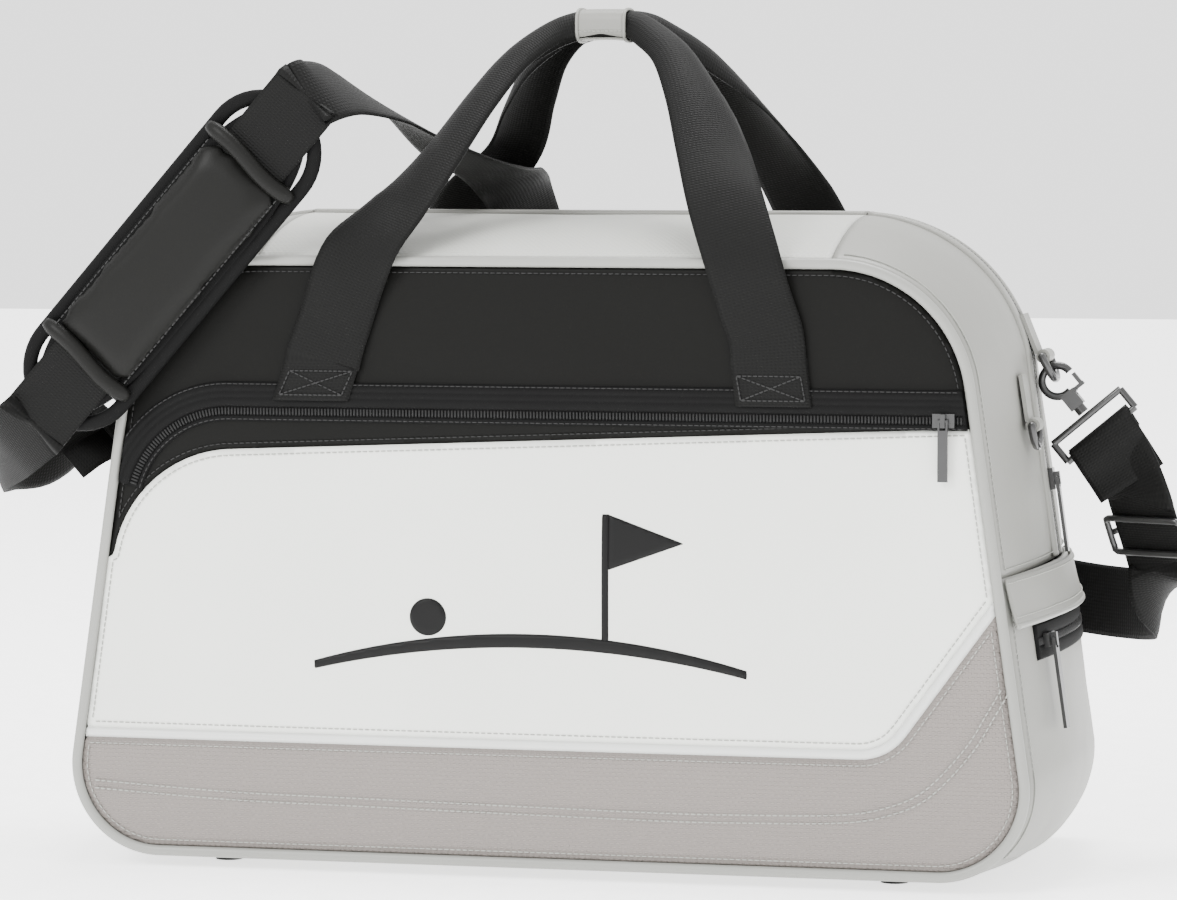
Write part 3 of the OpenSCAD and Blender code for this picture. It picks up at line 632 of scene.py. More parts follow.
def fill_loop(loop, spacing, clearance, stagger):
    """A closed loop's points and a grid inside them, triangles over both, and distances to the loop."""
    low, high = loop.min(0), loop.max(0)
    gx, gz = np.meshgrid(np.arange(low[0], high[0], spacing), np.arange(low[1], high[1], spacing))
    gx = gx + (np.arange(gx.shape[0]) % 2)[:, None] * stagger
    grid = np.stack([gx.ravel(), gz.ravel()], axis=1)
    grid = grid[inside(grid, loop)]
    if len(grid):
        grid = grid[loop_distance(grid, loop) > clearance]
    flat = np.concatenate([loop, grid])
    count = len(loop)
    edges = [(i, (i + 1) % count) for i in range(count)]
    made = geometry.delaunay_2d_cdt([Vector(p) for p in flat], edges, [list(range(count))], 1, 1e-7)
    flat = np.array([tuple(v) for v in made[0]])
    return flat, [tuple(t) for t in made[2]], loop_distance(flat, loop)


def close_panel(flat, tris, front, back, facing):
    """A closed mesh from a triangulated front, the same back, and walls between their edges."""
    under = len(flat)
    directed = set()
    faces = []
    for t in tris:
        a, b, c = (flat[i] for i in t)
        turn = (b[0] - a[0]) * (c[1] - a[1]) - (b[1] - a[1]) * (c[0] - a[0])
        t = t if (turn > 0) == (facing < 0) else t[::-1]
        faces.append(t)
        faces.append(tuple(i + under for i in t[::-1]))
        directed.update([(t[0], t[1]), (t[1], t[2]), (t[2], t[0])])
    for a, b in directed:
        if (b, a) not in directed:
            faces.append((b, a, a + under, b + under))
    return np.concatenate([front, back]), faces


def face_panel(name, node, puff, material, slot, facing=-1, reach=5 * MM, spacing=3.2 * MM, wrinkle=0.5 * MM,
               seed=1, bellied=True, ledge=0.0):
    """A padded flat panel: its front swells between its seams, and its back is flat."""
    y_face = facing * HALF_DEPTH
    loop = face_loop(node, y_face - ledge)
    loop = resample(np.concatenate([loop, loop[:1]]), spacing)[:-1]
    flat, tris, distance = fill_loop(loop, spacing, spacing * 0.55, spacing / 2)
    swell = puff * (1 - np.exp(-distance / reach)) - 0.4 * MM
    places = np.stack([flat[:, 0], np.zeros(len(flat)), flat[:, 1]], axis=1)
    swell = swell + wrinkle * (drift(places, 14, seed) * 0.8 + drift(places, 45, seed + 5) * 0.25) \
        * (1 - np.exp(-distance / 0.02))
    if bellied:
        swell = swell + belly(flat[:, 0], flat[:, 1])
    front = places + np.stack([0 * swell, y_face + facing * swell, 0 * swell], axis=1)
    back = places + [0, y_face - facing * 3 * MM, 0]
    return piece(name, *close_panel(flat, tris, front, back, facing), material, "shell", slot, [node])


def make_faces():
    face_panel("soft_front_upper", "front_panel_upper", 1.2 * MM, BLACK, "pu_black", seed=2, bellied=False)
    face_panel("soft_pocket_white", "pocket_panel_white", 1.4 * MM, WHITE, "pu_white", seed=3)
    face_panel("soft_pocket_lower", "pocket_panel_lower", 1.4 * MM, EMBOSSED, "pu_embossed_grey", seed=4)
    face_panel("soft_trim", "pocket_trim", 1.6 * MM, TRIM, "trim_silver", seed=5, wrinkle=0, reach=1.2 * MM,
               spacing=1.6 * MM, ledge=1 * MM)
    face_panel("soft_back", "back_panel", 2.5 * MM, BLACK, "pu_black", facing=1, seed=6, bellied=False)


def full_outline(inset, step=2.5 * MM):
    """The whole closed outline in (x, z), moved in by inset."""
    half = OUT_ROWS[:, :2] - OUT_ROWS[:, 2:] * inset
    whole = np.concatenate([half, (half[::-1] * [-1, 1])[1:-1]])
    return resample(np.concatenate([whole, whole[:1]]), step)[:-1]


def make_piping():
    for word, side in (("front", -1), ("rear", 1)):
        path = full_outline(PIPE_W / 2 - 0.2 * MM)
        y = side * (HALF_DEPTH + 0.1 * MM)
        points = np.stack([path[:, 0], np.full(len(path), y), path[:, 1]], axis=1)
        piece(f"soft_piping_{word}", *tube(points, 2.7 * MM, 14, True, 0.85, FORWARD), PIPING, "shell",
              "piping_grey", [f"piping_{word}"])


# ---- Webbing ---------------------------------------------------------------------------------
WEB_W = 38.0
HALF_FOLD = np.linspace(1e-3, 2.2, 400)


def curve(controls, steps):
    """A smooth curve swept through control rows, as the CAD model draws it."""
    p = np.asarray(controls, float)
    n = len(p) - 1
    rows = []
    for i in range(n):
        a, b, c, d = p[max(i - 1, 0)], p[i], p[i + 1], p[min(i + 2, n)]
        for t in np.arange(steps) / steps:
            rows.append(0.5 * (2 * b + (c - a) * t + (2 * a - 5 * b + 4 * c - d) * t ** 2
                               + (3 * b - a - 3 * c + d) * t ** 3))
    rows.append(p[-1])
    return np.array(rows)


def ribbon_grids(controls, steps=8, thickness=2.0, full=WEB_W, crown=0, level=0, ripple=0.35):
    """Outer and inner grids of a webbing ribbon, with metric coordinates.

    Where a control's width is under full, the webbing is cupped into an arc whose back faces the
    crown side. level is how many sections at each end keep their own width direction.
    """
    q = curve(controls, steps)
    centre, width = q[:, :3], q[:, 6]
    along = directions(centre)
    across = q[:, 3:6].copy()
    square = slice(level, len(q) - level)
    across[square] -= along[square] * np.sum(across * along, axis=1)[square, None]
    across = unit_rows(across)
    up = unit_rows(np.cross(along, across))
    if crown:
        up *= crown
    half = np.interp(-np.minimum(width / full, 0.9999), -np.sin(HALF_FOLD) / HALF_FOLD, HALF_FOLD)
    radius = np.maximum(width, full) / (2 * half)
    height = radius * (1 - np.cos(half))
    t = np.linspace(-1, 1, 15)
    turn = t[None, :] * half[:, None]
    side = radius[:, None] * np.sin(turn)
    rise = radius[:, None] * (np.cos(turn) - 1) + height[:, None] / 2
    normal = across[:, None, :] * np.sin(turn)[..., None] + up[:, None, :] * np.cos(turn)[..., None]
    middle = centre[:, None, :] + across[:, None, :] * side[..., None] + up[:, None, :] * rise[..., None]
    middle = middle + normal * (ripple * drift(middle * MM, 26, 3))[..., None]
    thick = thickness / 2 * (1 - 0.55 * np.abs(t) ** 10)
    outer = middle + normal * thick[None, :, None]
    inner = middle - normal * thick[None, :, None]
    v = np.concatenate([[0], np.cumsum(np.linalg.norm(np.diff(centre, axis=0), axis=1))])
    uv = np.stack(np.broadcast_arrays(t[None, :] * full / 2, v[:, None]), axis=-1).reshape(-1, 2)
    return outer * MM, inner * MM, np.concatenate([uv, uv]) * MM


def webbing_piece(name, controls, body, replaces=(), **shape):
    outer, inner, uv = ribbon_grids(controls, **shape)
    return piece(name, *sheet_mesh(outer, inner), WEBBING, body, "webbing_black", replaces, uv)


HANDLE_RIGHT = [
    [120, 108.4, 240.8, 1, 0, 0, 38.3], [118.7, 108.4, 251, 1, 0, 0, 38.3],
    [117.4, 108.4, 262, 1, 0, 0, 38.3],
    [116, 108.6, 276, 1, 0, 0, 38], [110.8, 109.6, 292, 1, 0, 0, 38], [104, 110.4, 315, 1, 0, 0, 38],
    [93, 98, 343, 1, 0.1, 0, 38], [82, 76, 369, 0.93, 0.25, -0.1, 37], [70, 53, 394, 0.7, 0.6, 0, 34],
    [55, 31, 414, 0.4, 0.9, 0, 28], [38.5, 17, 425.5, 0.12, 1, 0, 23], [27, 12.2, 430.8, 0, 1, 0, 20],
    [12, 12, 431.6, 0, 1, 0, 20], [-3, 12.2, 430.6, 0, 1, 0, 20], [-17, 16, 425, -0.1, 1, 0, 23],
    [-33.5, 31, 411, -0.35, 0.92, 0, 28], [-47, 52, 391, -0.5, 0.85, 0.1, 32],
    [-60, 73, 367, -0.6, 0.75, 0.2, 35]]
HANDLE_LEFT = [
    [-75, 93, 341, -0.75, 0.6, 0.3, 38], [-93, 110.4, 315, -1, 0, 0, 38], [-107, 108.6, 278, -1, 0, 0, 38],
    [-112.4, 108.4, 262, -1, 0, 0, 39.7], [-115.7, 108.4, 251, -1, 0, 0, 39.7],
    [-119, 108.4, 240.8, -1, 0, 0, 39.7]]
PATCH_LOW, FOLD_Z = 240.8, 262.0
PATCH_IN, PATCH_OUT, PATCH_STITCH = 105.9 * MM, 107.2 * MM, 109.65 * MM
BOX_FACES = [(0, 1, 2, 3), (7, 6, 5, 4), (0, 4, 5, 1), (1, 5, 6, 2), (2, 6, 7, 3), (3, 7, 4, 0)]


def patch_corners(x, lean):
    shift = (FOLD_Z - PATCH_LOW) * math.tan(math.radians(lean))
    return np.array([[x - 19, PATCH_LOW], [x + 19, PATCH_LOW], [x + 19 + shift, FOLD_Z + 3],
                     [x - 19 + shift, FOLD_Z + 3]]) * MM


def inset_corners(corners, by):
    middle = corners.mean(0)
    return middle + (corners - middle) * (1 - by / np.abs(corners - middle).max(0))


def make_patches(word, side):
    """Two sewn patches of webbing under a handle's ends, each with a boxed cross of stitches."""
    lines, parts = [], []
    for x, lean in ((120, -7), (-119, 17)):
        corners = patch_corners(x, lean)
        ends = [[(c[0], side * y, c[1]) for c in corners] for y in (PATCH_OUT, PATCH_IN)]
        parts.append((ends[0] + ends[1], BOX_FACES if side < 0 else [f[::-1] for f in BOX_FACES]))
        top = corners.copy()
        top[2:, 1] -= 6 * MM
        at = [np.array([c[0], side * PATCH_STITCH, c[1]]) for c in inset_corners(top, 3 * MM)]
        lines += [[at[i], at[j]] for i, j in ((0, 1), (1, 2), (2, 3), (3, 0), (0, 2), (1, 3))]
    piece(f"soft_patch_{word}", *join_meshes(parts), WEBBING, "shell", "webbing_black",
          [f"handle_patches_{word}"], (0, 2), smooth=False)
    stitches(f"stitch_patch_{word}", lines, [np.array([0.0, side, 0])] * len(lines), THREAD_BLACK, "shell",
             "webbing_black", 2.6 * MM, 2.1 * MM, 0.4 * MM)


def make_handles():
    for word, side, dx in (("front", -1, [0] * 6), ("rear", 1, [-11, -9, -1, 0, 0, 0])):
        rows = [[p[0] + d, side * p[1], p[2], p[3], -side * p[4], p[5], p[6]]
                for p, d in zip(HANDLE_RIGHT + HANDLE_LEFT, [0] * len(HANDLE_RIGHT) + dx)]
        outer, inner, uv = ribbon_grids(rows, steps=8, thickness=2.4, crown=side, level=16)
        handle = piece(f"soft_handle_{word}", *sheet_mesh(outer, inner), WEBBING, None, "webbing_black",
                       [f"{word}_handle_webbing"], uv)
        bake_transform(handle)
        make_patches(word, side)


def superloop(half_a, half_b, power_a, power_b, count):
    """A rounded box, which powers under 1 make squarer."""
    a = np.linspace(0, 2 * math.pi, count, endpoint=False)
    c, s = np.cos(a), np.sin(a)
    across = np.sign(c) * np.abs(c) ** power_a * half_a
    up = np.sign(s) * np.abs(s) ** power_b * half_b
    return np.stack([across, up], axis=1)


def make_keeper():
    """The leather wrap round the front grip, with a bound edge at each end."""
    centre = np.array([12, -12, 431.2]) * MM
    rows = []
    for t in np.linspace(-1, 1, 15):
        waist = 1 + 0.035 * t * t
        rise = 0.48 * MM * (1 - t * t)
        loop = superloop(12.1 * MM * waist, 8.0 * MM * waist, 0.62, 0.62, 56)
        rows.append([centre + [t * 12.4 * MM, p[0], p[1] + rise] for p in loop])
    outer = np.array(rows)
    inner = centre + (outer - centre) * [1, 0.9, 0.86]
    wrapped = [np.concatenate([grid, grid[:, :1]], axis=1)[::-1] for grid in (outer, inner)]
    piece("soft_keeper", *sheet_mesh(*wrapped), LIGHT_GREY, "front_handle", "pu_light_grey",
          ["handle_keeper"])
    for word, ring in (("left", outer[0]), ("right", outer[-1])):
        piece(f"soft_keeper_edge_{word}", *tube(ring, 0.9 * MM, 8, True, ups=ring - centre), LIGHT_GREY,
              "front_handle", "pu_light_grey")
    seam = [[centre + [t * 11.5 * MM, -12.4 * MM, -3.0 * MM] for t in np.linspace(-1, 1, 8)]]
    stitches("stitch_keeper", seam, [np.array([0, -1.0, -0.4])], THREAD_GREY, "front_handle", "pu_light_grey",
             2.4 * MM, 1.9 * MM, 0.3 * MM)


# ---- Shoulder strap --------------------------------------------------------------------------
HOOK_A, RING_A, PAD_A = math.radians(40), math.radians(25), math.radians(49)
HOOK_P = np.array([238 + 13 * math.sin(RING_A) + 0.8, 12, 262 - 13 * math.cos(RING_A) - 1.2])
HOOK_X = np.array([math.cos(HOOK_A), 0, math.sin(HOOK_A)])
HOOK_Z = np.array([-math.sin(HOOK_A), 0, math.cos(HOOK_A)])
LOOP_P = HOOK_P - 29.5 * HOOK_Z
GLIDE_P = np.array([290, 30, 170.0])
GLIDE_DIR = np.array([6, 14, -26.0]) / np.linalg.norm([6, 14, -26])
GLIDE_W = [0.7, -0.3, 0]
PAD_C = np.array([-190, -120, 311.0])
PAD_DIR = np.array([math.cos(PAD_A), 0, math.sin(PAD_A)])
PAD_W = np.array([math.sin(PAD_A), 0, -math.cos(PAD_A)])


def web(p, w, width=WEB_W):
    return [*p, *w, width]


STRAP_RIGHT = [web(LOOP_P + [1, 3.6, -1], [0.77, 0, 0.64])] + [
    web(GLIDE_P + g * GLIDE_DIR, GLIDE_W) for g in (-28, -17, 0, 17, 28)]
STRAP_BACK = [
    web([290, 82, 130], [0.3, -0.3, 0.9]), web([262, 116, 126], [0, 0, 1]), web([210, 134, 132], [0, 0, 1]),
    web([110, 136, 152], [0.3, 0, 0.9]), web([20, 135, 194], [0.7, 0, 0.7]),
    web([-34, 132, 250], [0.9, 0, 0.4]),
    web([-56, 127, 302], [0.85, 0.3, 0.3]), web([-61.5, 106, 336], [0.7, 0.65, 0.3]),
    web([-60, 72, 349], [0.75, 0.6, 0.2]), web([-63, 35, 356], [0.9, 0.3, 0]),
    web([-72, 0, 364], [0.95, 0, -0.1]),
    web([-83, -35, 378], [0.85, 0.1, -0.4]), web([-96, -66, 391], [0.75, 0.2, -0.5]),
    web([-105, -93, 398], [0.7, 0.2, -0.6]), web([-110, -113, 398], [0.7, 0.1, -0.65])]
STRAP_PAD = [web(PAD_C + k * 109 * PAD_DIR, PAD_W) for k in (1.02, 0.97, 0.4, -0.4, -0.97, -1.02)]
LEFT_END = web(LOOP_P * MIRROR + [-1, -3.6, -1], [-0.77, 0, -0.64])
STRAP_LEFT = [
    web([-284, -104, 214], [0.7, 0, -0.7]), web([-303, -74, 207], [0.4, 0, -0.9]),
    web([-302, -38, 206], [-0.1, 0, -1]), web([-288, -10, 206], [-0.5, 0, -0.8]), LEFT_END]


def strap_turn(name, start, after, bar, width_dir):
    """The webbing's end, turned round a hook's bar and sewn back onto itself."""
    start, after, bar = np.array(start[:3]), np.array(after[:3]), np.array(bar)
    away = after - start
    away /= np.linalg.norm(away)
    normal = start - bar
    normal -= away * (normal @ away)
    normal -= width_dir * (normal @ width_dir)
    normal /= np.linalg.norm(normal)
    turn_r, sewn = 3.4, normal * 2.15
    rows = [web(bar + normal * turn_r + away * 6, width_dir)]
    for a in np.linspace(0, math.pi, 7):
        rows.append(web(bar + normal * turn_r * math.cos(a) - away * turn_r * math.sin(a), width_dir))
    rows.append(web(bar - normal * 2.6 + away * 8, width_dir))
    rows += [web(start + away * reach - sewn, width_dir) for reach in (22, 34)]
    webbing_piece(name, rows, "strap", steps=3, thickness=1.9, ripple=0.0)


def make_strap():
    rows = STRAP_RIGHT + STRAP_BACK + STRAP_PAD + STRAP_LEFT
    webbing_piece("soft_strap", rows, "strap", ["strap_webbing"], steps=8, thickness=2.0, level=1, ripple=0.5)
    bar = HOOK_P - 35.5 * HOOK_Z
    strap_turn("soft_strap_turn_right", STRAP_RIGHT[0], STRAP_RIGHT[1], bar, HOOK_X)
    strap_turn("soft_strap_turn_left", LEFT_END, STRAP_LEFT[-2], bar * MIRROR, HOOK_X * MIRROR)


def make_glide():
    """A three-bar slider: side rails and end bars over the strap, and a middle bar under it."""
    x = np.array(GLIDE_W) / np.linalg.norm(GLIDE_W)
    x = x - GLIDE_DIR * (x @ GLIDE_DIR)
    x /= np.linalg.norm(x)
    y = np.cross(GLIDE_DIR, x)
    if y[1] > 0:
        y = -y

    def at(u, v, w):
        return (GLIDE_P + x * u + GLIDE_DIR * v + y * w) * MM

    corner_r = 3.5
    loop = []
    for cx, cv in ((1, 1), (-1, 1), (-1, -1), (1, -1)):
        middle_a = math.atan2(cv, cx)
        for a in np.linspace(middle_a - math.pi / 4, middle_a + math.pi / 4, 5):
            u, v = cx * 18 + corner_r * math.cos(a), cv * 7 + corner_r * math.sin(a)
            loop.append(at(u + cx * 1.2, v, 2.9 - 1.4 * (abs(u) > 20.5)))
    loop = resample(np.array(loop + loop[:1]), 2.0 * MM)[:-1]
    middle = np.array([at(u, 0, -2.9 + 0.16 * max(0, abs(u) - 17) ** 2)
                       for u in np.linspace(-21.5, 21.5, 22)])
    parts = [tube(loop, 1.75 * MM, 12, True, ups=y), tube(middle, 1.6 * MM, 12, ups=y)]
    piece("soft_tri_glide", *join_meshes(parts), HARDWARE, "glide", "hardware_black", ["tri_glide"])


def pad_point(u, v, w):
    """u along the pad, v across it and w out of its face, in millimetres."""
    return (PAD_C + PAD_DIR * u - PAD_W * v + FORWARD * w) * MM


def stadium(half_l, radius):
    """A rounded bar's outline: two half circles and the lines between them."""
    a = np.linspace(-math.pi / 2, math.pi / 2, 75)
    right = [(half_l - radius + radius * math.cos(t), radius * math.sin(t)) for t in a]
    pts = np.array(right + [(-u, -v) for u, v in right])
    return resample(np.concatenate([pts, pts[:1]]), 4.0)[:-1]


def pad_shell(half_l, half_w, squareness, low, high, puff, ring_count=14):
    """A closed flat form in pad coordinates, swelling between its edges."""
    count = 110
    edge = superloop(half_l, half_w, *squareness, count)
    verts, faces = [], []
    for face in (1, -1):
        for k in range(ring_count):
            f = 1 - k / ring_count
            swell = puff * (1 - f ** 3)
            w = high + swell if face > 0 else low - 0.3 * swell
            verts += [pad_point(p[0] * f, p[1] * f, w) for p in edge]
        verts.append(pad_point(0, 0, high + puff if face > 0 else low - 0.3 * puff))
    half = ring_count * count + 1
    for face in (0, 1):
        base = face * half
        for k in range(ring_count - 1):
            for i in range(count):
                j = (i + 1) % count
                ring = base + k * count
                quad = (ring + i, ring + j, ring + count + j, ring + count + i)
                faces.append(quad if face == 0 else quad[::-1])
        last = base + (ring_count - 1) * count
        for i in range(count):
            tri = (last + i, last + (i + 1) % count, base + half - 1)
            faces.append(tri if face == 0 else tri[::-1])
    for i in range(count):
        j = (i + 1) % count
        faces.append((i, half + i, half + j, j))
    return verts, faces


def puffed(obj, cap, pressure=4.0, voxel=4.5 * MM, frames=20):
    """Inflates a padded piece as cloth, limits how far each point may move, and applies the result."""
    modifier = obj.modifiers.new("remesh", "REMESH")
    modifier.mode = "VOXEL"
    modifier.voxel_size = voxel
    bpy.context.view_layer.objects.active = obj
    bpy.ops.object.modifier_apply(modifier=modifier.name)
    mesh = obj.data
    rest = np.empty(len(mesh.vertices) * 3)
    mesh.vertices.foreach_get("co", rest)
    rest = rest.reshape(-1, 3)
    cloth = obj.modifiers.new("cloth", "CLOTH")
    cloth.settings.quality = 6
    cloth.settings.use_pressure = True
    cloth.settings.uniform_pressure_force = pressure
    cloth.settings.tension_stiffness = 30
    cloth.settings.compression_stiffness = 12
    cloth.settings.bending_stiffness = 0.6
    cloth.settings.effector_weights.gravity = 0
    cloth.point_cache.frame_start, cloth.point_cache.frame_end = 1, frames
    for number in range(1, frames + 1):
        bpy.context.scene.frame_set(number)
    made = obj.evaluated_get(bpy.context.evaluated_depsgraph_get()).to_mesh()
    now = np.empty(len(made.vertices) * 3)
    made.vertices.foreach_get("co", now)
    obj.modifiers.remove(cloth)
    move = now.reshape(-1, 3) - rest
    size = np.linalg.norm(move, axis=1)
    move *= np.minimum(1, cap / np.maximum(size, 1e-9))[:, None]
    mesh.vertices.foreach_set("co", (rest + move).ravel())
    bpy.context.scene.frame_set(1)
    smooth = obj.modifiers.new("smooth", "SUBSURF")
    smooth.levels = smooth.render_levels = 1
    mesh.polygons.foreach_set("use_smooth", [True] * len(mesh.polygons))
    mesh.update()


def make_pad():
    base = piece("soft_pad_base", *pad_shell(96.5, 27, (0.62, 0.75), -6.4, -1.6, 0.4), BINDING, "pad",
                 "pad_black", ["strap_pad"])
    ring = np.array([pad_point(*p, -4.2) for p in stadium(101, 28)])
    piece("soft_pad_binding", *tube(ring, 3.9 * MM, 12, True, 0.78, FORWARD), BINDING, "pad", "pad_black")
    sleeve = piece("soft_pad_sleeve", *pad_shell(65, 26.5, (0.22, 0.24), -1.4, 3.4, 1.8), PAD_BLACK, "pad",
                   "pad_black")
    puffed(sleeve, 2.4 * MM)
    half_w = 29
    ends = 4.4 * MM * np.clip(1.15 - (np.abs(np.linspace(-1, 1, 30)) ** 6) * 0.55, 0.5, 1)
    for word, u in (("upper", 66.5), ("lower", -66.5)):
        bar = np.array([pad_point(u + 1.2 * math.sin(v / 9), v, 3.6 - 3.4 * (abs(v) / half_w) ** 4)
                        for v in np.linspace(-half_w, half_w, 30)])
        piece(f"soft_pad_bar_{word}", *tube(bar, ends, 12, False, 0.8, FORWARD), PAD_BLACK, "pad",
              "pad_black")
    edges = [[pad_point(u, v, 3.9) for u in np.linspace(-62, 62, 30)] for v in (23.5, -23.5)]
    stitches("stitch_pad", edges, [FORWARD] * 2, THREAD_BLACK, "pad", "pad_black",
             3 * MM, 2.3 * MM, 0.35 * MM)


# ---- Zips ------------------------------------------------------------------------------------
ZIP_Y = 10 * MM
PLACKETS = {"front": ([-4, -3.5, -2.5, 2, 5.6, 6.4], [0.1, 1.1, 1.5, 1.6, 1.5, 0.4]),
            "rear": ([13.6, 14.4, 18, 22.5, 23.5, 24], [0.4, 1.5, 1.6, 1.5, 1.1, 0.1])}
BAND_Z, BAND_TURN_X, BAND_R = 235, -163, 53
BAND_PROFILE = [
    (-5, 0.5), (-4.8, 1.5), (-4.2, 1.9), (-3.2, 1.9), (-2.6, 1.5), (-2.2, 0.9), (2.2, 0.9), (2.6, 1.7),
    (3.4, 2.3), (4.6, 2.3), (6, 2.3), (6.8, 1.6), (7.6, 2.3), (9.2, 2.3), (10, 1.6), (10.8, 2.3), (12.4, 2.3),
    (13.2, 1.6), (14, 2.1), (14.8, 1.9), (15, 0.5)]


def face_half_width(z):
    """Half width of the front face inside its piping, at height z in metres."""
    side = OUT_ROWS[:, 0] > 0.12
    order = np.argsort(OUT_ROWS[side, 1])
    return np.interp(z, OUT_ROWS[side, 1][order], OUT_ROWS[side, 0][order]) - 6.2 * MM


def band_path():
    """Centre line of the front zip from its closed end: x, z and the direction across the band."""
    rows = [(x, BAND_Z, 0, 1) for x in np.arange(217, BAND_TURN_X, -2.5)]
    for a in np.radians(np.linspace(90, 165, 30)):
        c, s = math.cos(a), math.sin(a)
        rows.append((BAND_TURN_X + BAND_R * c, BAND_Z - BAND_R + BAND_R * s, c, s))
    return np.array(rows)


def teeth(name, centres, normals, half_length, radius, body="shell", alongs=None):
    """A coil: one rounded bar across the zip at each centre."""
    alongs = directions(centres) if alongs is None else alongs
    parts = []
    for c, a, n in zip(centres, alongs, np.broadcast_to(normals, centres.shape)):
        side = np.cross(a, n)
        side /= np.linalg.norm(side)
        line = [c - side * half_length - n * radius * 0.7, c - side * half_length * 0.7,
                c + side * half_length * 0.7, c + side * half_length - n * radius * 0.7]
        parts.append(tube(line, [radius * 0.8, radius, radius, radius * 0.8], 6, ups=n))
    return piece(name, *join_meshes(parts), COIL, body, "zip_coil")


def make_front_zip():
    path = band_path()
    t = np.array([-5, -4.6, -4.2, -3.6, -3.0, -2.6, -2.2, -1.5, 0, 1.5, 2.2, 2.6, 3.2, 4.2, 5.2, 6.2, 6.8, 7.4,
                  8.4, 9.4, 10, 10.6, 11.6, 12.6, 13.2, 13.8, 14.4, 15])
    height = np.interp(t, *np.transpose(BAND_PROFILE))
    x = path[:, None, 0] + path[:, None, 2] * t[None, :]
    z = path[:, None, 1] + path[:, None, 3] * t[None, :]
    limit = face_half_width(z * MM) / MM
    x = np.clip(x, -limit, limit)
    ripple = 0.25 * drift(np.stack([x, 0 * x, z], -1) * MM, 60, 5)
    y = -105.6 - np.broadcast_to(height[None, :], x.shape) + ripple
    outer = np.stack([x, y, z], axis=-1)
    inner = np.stack([x, np.full(x.shape, -105.2), z], axis=-1)
    piece("soft_front_zip_band", *sheet_mesh(outer[::-1] * MM, inner[::-1] * MM), TAPE, "shell", "zip_tape",
          ["front_zip_tape"], (0, 2))
    line = resample(path, 1.7)
    centres = np.stack([line[:, 0], np.full(len(line), -106.9), line[:, 1]], axis=1)
    keep = np.abs(centres[:, 0]) < 214
    coil = teeth("soft_front_zip_coil", centres[keep] * MM, FORWARD, 1.9 * MM, 0.62 * MM,
                 alongs=directions(centres)[keep])
    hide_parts("front_zip_coil")
    lines = []
    for off, y in ((-4.0, -107.6), (13.9, -107.8)):
        xs, zs = path[:, 0] + path[:, 2] * off, path[:, 1] + path[:, 3] * off
        ok = np.abs(xs) < face_half_width(zs * MM) / MM - 0.5
        lines.append(np.stack([xs, np.full(len(xs), y), zs], axis=1)[ok] * MM)
    stitches("stitch_front_zip", lines, [FORWARD] * 2, THREAD_BLACK, "shell", "zip_tape",
             3 * MM, 2.3 * MM, 0.3 * MM)


def side_normal(side=1):
    return np.array([side * math.cos(SIDE_ANGLE), 0, math.sin(SIDE_ANGLE)])


def make_side_zip():
    s0 = s_at_height(122 * MM)
    offs = np.array([-9, -8.4, -7.8, -4.5, -2.6, -2.2, 2.2, 2.6, 4.5, 7.8, 8.4, 9]) * MM
    lift = np.array([0.2, 1.2, 1.5, 1.5, 1.3, 0.9, 0.9, 1.3, 1.5, 1.5, 1.2, 0.2]) * MM
    strip_piece("soft_side_zip_tape", s0 + offs, np.linspace(-75, 75, 80) * MM, lift[:, None], -0.8 * MM,
                True, 1, TAPE, "zip_tape", ["side_zip_tape"], (1, 2))
    line = strip_points(np.array([s0]), np.arange(-73, 73, 1.7) * MM, 1.2 * MM, True)[0]
    teeth("soft_side_zip_coil", line, side_normal(), 1.9 * MM, 0.6 * MM)


def make_side_flap():
    """The rain flap over the side zip, with a bound lower edge."""
    top, low = s_at_height(156.5 * MM), s_at_height(133 * MM)
    s = np.linspace(low, top, 12)
    y = np.linspace(-EDGE_Y, EDGE_Y, 90)
    part = (top - s) / (top - low)
    lift = (0.4 + 2.6 * part ** 1.5)[:, None] * MM + 0.7 * MM * drift(strip_points(s, y, 0, True), 30, 8)
    outer = strip_points(s, y, lift + 1.4 * MM, True)
    inner = strip_points(s, y, lift * 0.9 + 0.2 * MM, True)
    piece("soft_side_flap", *sheet_mesh(outer, inner), LIGHT_GREY, "shell", "pu_light_grey",
          ["side_pocket_flap"])
    edge = (outer[0] + inner[0]) / 2
    piece("soft_side_flap_binding", *tube(edge, 1.5 * MM, 10, ups=side_normal()), PIPING, "shell",
          "piping_grey")
    rows = [outer[i] + side_normal() * 0.2 * MM for i in (2, -2)]
    stitches("stitch_side_flap", rows, [side_normal()] * 2, THREAD_GREY, "shell", "pu_light_grey",
             radius=0.3 * MM)


def make_main_zip_sides():
    """The plackets, tape and coil of the main zip, down both gussets."""
    for side, word in SIDES:
        s = np.linspace(S_SEAM + 1.5 * MM, S_TOP, 70)
        for half, (ys, lifts) in PLACKETS.items():
            strip_piece(f"soft_placket_{word}_{half}", s, np.array(ys) * MM, np.array(lifts) * MM, -0.8 * MM,
                        False, side, LIGHT_GREY, "pu_light_grey",
                        ["main_zip_tape_sides"] if (side, half) == (1, "front") else ())
        s = np.arange(S_SEAM + 2 * MM, S_TOP, 1.8 * MM)
        line = strip_points(s, np.array([ZIP_Y]), 0.7 * MM, False, side)[:, 0]
        teeth(f"soft_main_coil_{word}", line, outline_normals(s, side), 2.4 * MM, 0.7 * MM)
        s = np.linspace(S_SEAM + 2 * MM, S_TOP, 60)
        strip_piece(f"soft_main_tape_{word}", s, np.array([6.0, 8, 12, 14.0]) * MM, 0.15 * MM, -1.0 * MM,
                    False, side, TAPE, "zip_tape", uvs=(1, 2))


